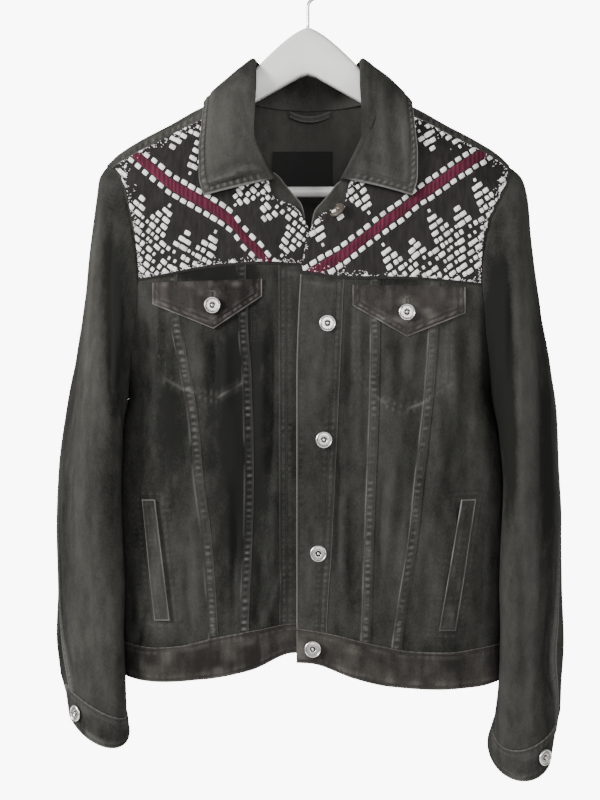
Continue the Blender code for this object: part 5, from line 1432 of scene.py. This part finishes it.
flap_denim = denim_finish("flap_denim", (0.0100, 0.0084, 0.0075, 1), (0.0700, 0.0612, 0.0560, 1),
                          (0.190, 0.176, 0.160, 1))
for side, word in SIDE_NAMES.items():
    flap = FLAP[side]
    across = np.linspace(flap["out"][0], flap["out"][2], 92)
    across[46] = flap["out"][1]
    down = np.linspace(0, 1, 42)[:, None]
    top, bottom = (np.interp(across, flap["out"], flap[name]) for name in ("top", "bottom"))
    drops = top + (bottom - top) * down
    outs = np.broadcast_to(across, drops.shape)
    normals = body_normal(side, FRONT, outs, drops)
    base = body(side, FRONT, outs, drops) + normals * (FLAP_THICK + RESTING)
    edge = border(base, "bottom first last")
    run = outs + 0.7 * drops
    wave = ripple(run, 2 * uneven(run, 21, 161 + side), 7.5)
    height = (0.12 * wave * hump(edge - 4, 2.6) - 0.4 * hump(edge - 2.0, 0.8)
              - 0.4 * hump(edge - 7.2, 0.9) + 0.6 * lumps(outs, drops, 26, 20, 163 + side)
              + 0.35 * lumps(outs, drops, 9, 13, 165 + side))
    slit_out, slit_drop = SLIT[side]
    slit = np.maximum(np.abs(drops - slit_drop) - 5.5, 0) + np.abs(outs - slit_out)
    height -= 0.9 * hump(slit, 0.9)
    grid = base + normals * height[..., None]
    broken = 0.62 + 0.3 * uneven(run, 9, 167 + side)
    worn = (crests(height) * 0.5 + rim_wear(grid, "bottom first last", 0.8) * broken
            + 0.3 * np.clip(lumps(outs, drops, 12, 9, 169 + side), 0, 1) ** 2
            + 0.4 * hump(slit - 1.8, 0.7))
    cloth(f"pocket_flap_{word}", [(grid, normals, worn)], flap_denim, FLAP_THICK,
          lined=True)
    places = np.s_[:, 3], np.s_[:, -3], np.s_[-4, 3:-3]
    stitches(f"pocket_flap_stitches_{word}", on_top(grid, normals, *places), thread)

    drop, inner, outer = WELT[side].values()
    drops = np.linspace(*drop, 90)[:, None]
    first, last = (np.interp(drops, drop, values) for values in (inner, outer))
    outs = first + (last - first) * np.linspace(0, 1, 18)
    drops = np.broadcast_to(drops, outs.shape)
    normals = body_normal(side, FRONT, outs, drops)
    base = body(side, FRONT, outs, drops) + normals * (WELT_THICK + WELT_GAP)
    edge = border(base)
    height = (0.05 * puckers(drops, 171 + side) + 0.45 * lumps(drops, outs, 15, 9, 173 + side)
              - 0.35 * hump(edge - 2, 0.8)) * ease(edge / 1.2)
    grid = base + normals * height[..., None]
    worn = crests(height) * 0.3 + rim_wear(grid, "top bottom first last", 0.7) * (
        0.6 + 0.4 * uneven(drops, 14, 175 + side))
    cloth(f"pocket_welt_{word}", [(grid, normals, worn)], denim, WELT_THICK, lined=True)
    outlines = [POCKET_BAG[side].values(), *(welt_frame(side, grow) for grow, _ in WELT_SEWING)]
    stitches(f"pocket_stitches_{word}", [cloth_at(side, FRONT, *evenly(*outline)) for outline in outlines], thread)


# Buttons
# Nickel-coloured tack buttons are riveted through the cloth: a raised rim and a turned face with a dark
# ring round the rivet's end.

# dark says how much darker the button's colour is at each radius: darkest in its grooves and under its rim.
BUTTON_SHAPE = table("radius height dark",
                     (0, 3.0, 0), (0.7, 2.9, 0), (1.2, 2.5, .2), (1.5, 1.9, 1), (2.1, 1.4, 1), (2.7, 1.5, .9),
                     (3.1, 2.0, .3), (3.6, 2.2, .1), (4.0, 2.1, .35), (4.4, 2.2, .1), (4.8, 2.1, .35), (5.2, 2.2, .1),
                     (5.6, 2.05, .4), (6.0, 2.1, .15), (6.6, 1.9, .75), (7.0, 2.6, 0), (7.5, 3.0, 0), (8.0, 2.7, 0),
                     (8.4, 2.0, .1), (8.4, 1.4, .4), (8.0, 0.3, .8), (7.6, 0, 1))
FRONT_BUTTONS = table("out drop lift", (30, 268, 0), (19.4, 381.5, 0), (15.8, 498.3, 0), (10.2, 612.5, 0),
                      (4.6, 709, BAND_LIFT))
FLAP_BUTTONS = {RIGHT: (95.9, 363.5), LEFT: (98.9, 370.5)}
SPOKES = 96
TOP_BUTTON_TURN = (-0.9, 0, 0.9)      # the top button is turned up and towards the wearer's right
nickel = Finish("nickel", metallic=1.0)
smear = nickel.noise(500, 3)
nickel.shows(nickel.mixed(nickel.marked("worn"), (0.84, 0.82, 0.78, 1), (0.08, 0.08, 0.075, 1)),
             smear * 0.2 + 0.24, smear, 0.0001)
# The top button gets a dark brown copy of the buttons' colour: painted shade, as it sits in shadow.
top_button_shade = Finish("top_button_painted_shade", roughness=0.4)
cloud = top_button_shade.noise(160, 3)
top_button_shade.shows(top_button_shade.mixed(cloud, (0.035, 0.027, 0.021, 1), (0.115, 0.092, 0.072, 1)), height=cloud, relief=0.0002)


def button(node, seat, normal, finish=nickel):
    """A tack button that stands on its seat along a normal; fine spokes are brushed into its face."""
    side_way = unit(np.cross(normal, [0.0, 0.3, 1.0]))
    other = np.cross(normal, side_way)
    turns = np.arange(SPOKES) * 2 * math.pi / SPOKES
    radius, height, dark = (values[:, None] for values in BUTTON_SHAPE.values())
    brushed = 0.06 * (np.arange(SPOKES) % 2) * ((radius > 3.3) & (radius < 6.4))
    rings = (seat + normal * (height + brushed)[..., None]
             + radius[..., None] * (np.cos(turns)[:, None] * side_way + np.sin(turns)[:, None] * other))
    faces = grid_faces(*rings.shape[:2], closed=True)
    if np.dot(np.cross(side_way, other), normal) > 0:
        faces = faces[:, ::-1]
    piece(f"{node}_turned", rings.reshape(-1, 3), faces.tolist(), finish, [node],
          {"worn": np.repeat(dark, SPOKES)})


def body_seat(side, out, drop, lift):
    """A point above the front of the body, and the direction out of it."""
    here, beside, below = (body(side, FRONT, out + a, drop + b) for a, b in ((0, 0), (6, 0), (0, 6)))
    normal = unit(np.cross(beside - here, below - here))
    normal = normal * -np.sign(normal[1])
    return here + normal * lift, normal


for i, (out, drop, lift) in enumerate(zip(*FRONT_BUTTONS.values())):
    seat, normal = body_seat(LEFT, out, drop, lift + RESTING)
    if i == 0:
        button("button_front_1", seat, unit(normal + np.array(TOP_BUTTON_TURN)), top_button_shade)
    else:
        button(f"button_front_{i + 1}", seat, normal)
for side, word in SIDE_NAMES.items():
    button(f"button_flap_{word}", *body_seat(side, *FLAP_BUTTONS[side], RESTING + FLAP_THICK + RESTING))
    here, beside, below = (cuff_at(side, 0.5 + b, CUFF_BUTTON + a) for a, b in ((0, 0), (.1, 0), (0, .1)))
    normal = unit(np.cross(beside - here, below - here))
    normal = normal * side * np.sign(normal[0])
    button(f"button_cuff_{word}", here + normal * RESTING, normal)


# Neck label and hanging loop
# A bare label of black satin is sewn inside the back yoke, and a short loop of denim hangs above it under
# the neck seam.

LABEL_X, LABEL_DROP, LABEL_THICK = (-37.0, 26.5), (196.0, 234.0), 1.0
LOOP_X, LOOP_DROP, LOOP_SAG, LOOP_WIDTH, LOOP_THICK = (-19.0, 23.0), 154.0, 6.0, 6.0, 1.4
INSIDE_GAP = 0.9
satin = Finish("label_satin", specular_ior_level=0.15)
weft = satin.noise(900, 2, 0.5, (0.2, 1, 1))
satin.shows(satin.mixed(weft, (0.006, 0.006, 0.006, 1), (0.018, 0.018, 0.017, 1)), weft * 0.2 + 0.5, weft, 0.0001)


def inside_back(xs, drops, rise):
    """Points on the inside of the back yoke, from x and drop, raised towards the front."""
    here = np.where((xs < 0)[..., None], body(RIGHT, BACK, np.abs(xs), drops), body(LEFT, BACK, np.abs(xs), drops))
    here[..., 1] -= CLOTH + INSIDE_GAP + rise
    return here


xs, drops = np.meshgrid(np.linspace(*LABEL_X, 40), np.linspace(*LABEL_DROP, 26))
points = inside_back(xs, drops, LABEL_THICK + 0.25 * lumps(xs, drops, 15, 12, 181))
towards = np.broadcast_to([0, -1.0, 0], points.shape)
cloth("neck_label", [(points, towards, 0 * xs)], satin, LABEL_THICK, lined=True)
xs, widths = np.meshgrid(np.linspace(*LOOP_X, 44), np.linspace(0, LOOP_WIDTH, 9))
middle = sum(LOOP_X) / 2
bow = 1 - ((xs - middle) / (LOOP_X[1] - middle)) ** 2
points = inside_back(xs, LOOP_DROP + LOOP_SAG * bow + widths, LOOP_THICK + 3.0 * bow)
towards = np.broadcast_to([0, -1.0, 0], points.shape)
cloth("hanging_loop", [(points, towards, rim_wear(points, "top bottom") * 0.6)], denim,
      LOOP_THICK, lined=True)


# Studio
# A plain pale floor below, a white room, and soft lights from both sides. The camera stands where the
# photograph was taken from.

floor_paint = Finish("floor", roughness=0.9, emission_strength=0.35)
floor_paint.shows(floor_paint.mixed(floor_paint.noise(3), (0.80, 0.80, 0.80, 1), (0.84, 0.84, 0.84, 1)))
turns = np.linspace(0, 2 * math.pi, 96, endpoint=False)
disc = bpy.data.meshes.new("floor")
disc.from_pydata([(1.1 * math.cos(a), 1.1 * math.sin(a), -1.2) for a in turns], [], [list(range(96))])
disc.materials.append(floor_paint.material)
floor = bpy.data.objects.new("floor", disc)
bpy.context.scene.collection.objects.link(floor)

world = bpy.data.worlds.new("studio")
world.use_nodes = True
nodes, links = world.node_tree.nodes, world.node_tree.links
background = nodes["Background"]
seen = nodes.new("ShaderNodeLightPath")
strength = nodes.new("ShaderNodeMapRange")
strength.inputs["To Min"].default_value = 0.28
strength.inputs["To Max"].default_value = 9.0
links.new(seen.outputs["Is Camera Ray"], strength.inputs["Value"])
links.new(strength.outputs["Result"], background.inputs["Strength"])
background.inputs["Color"].default_value = (1, 1, 1, 1)
bpy.context.scene.world = world

MIDDLE = Vector((0, 0, -0.43))
LAMPS = (                  # name, place, size in metres and power in watts
    ("key", (-2.3, -1.25, 0.55), 0.9, 130),
    ("fill", (1.9, -1.7, 0.0), 1.2, 26),
    ("front", (0.1, -2.4, 0.1), 1.2, 21),
    ("back", (0.2, 2.2, 0.9), 1.6, 40),
)
for name, place, size, power in LAMPS:
    lamp = bpy.data.lights.new(name, "AREA")
    lamp.shape, lamp.size, lamp.energy = "DISK", size, power
    made = bpy.data.objects.new(name, lamp)
    made.location = place
    made.rotation_euler = (MIDDLE - made.location).to_track_quat("-Z", "Y").to_euler()
    bpy.context.scene.collection.objects.link(made)

lens = bpy.data.cameras.new("camera")
lens.sensor_width, lens.lens = 36.0, 69.5
camera = bpy.data.objects.new("camera", lens)
camera.location = (-0.0082, -1.6, -0.4585)
camera.rotation_euler = (math.pi / 2, 0, 0)
bpy.context.scene.collection.objects.link(camera)
bpy.context.scene.camera = camera
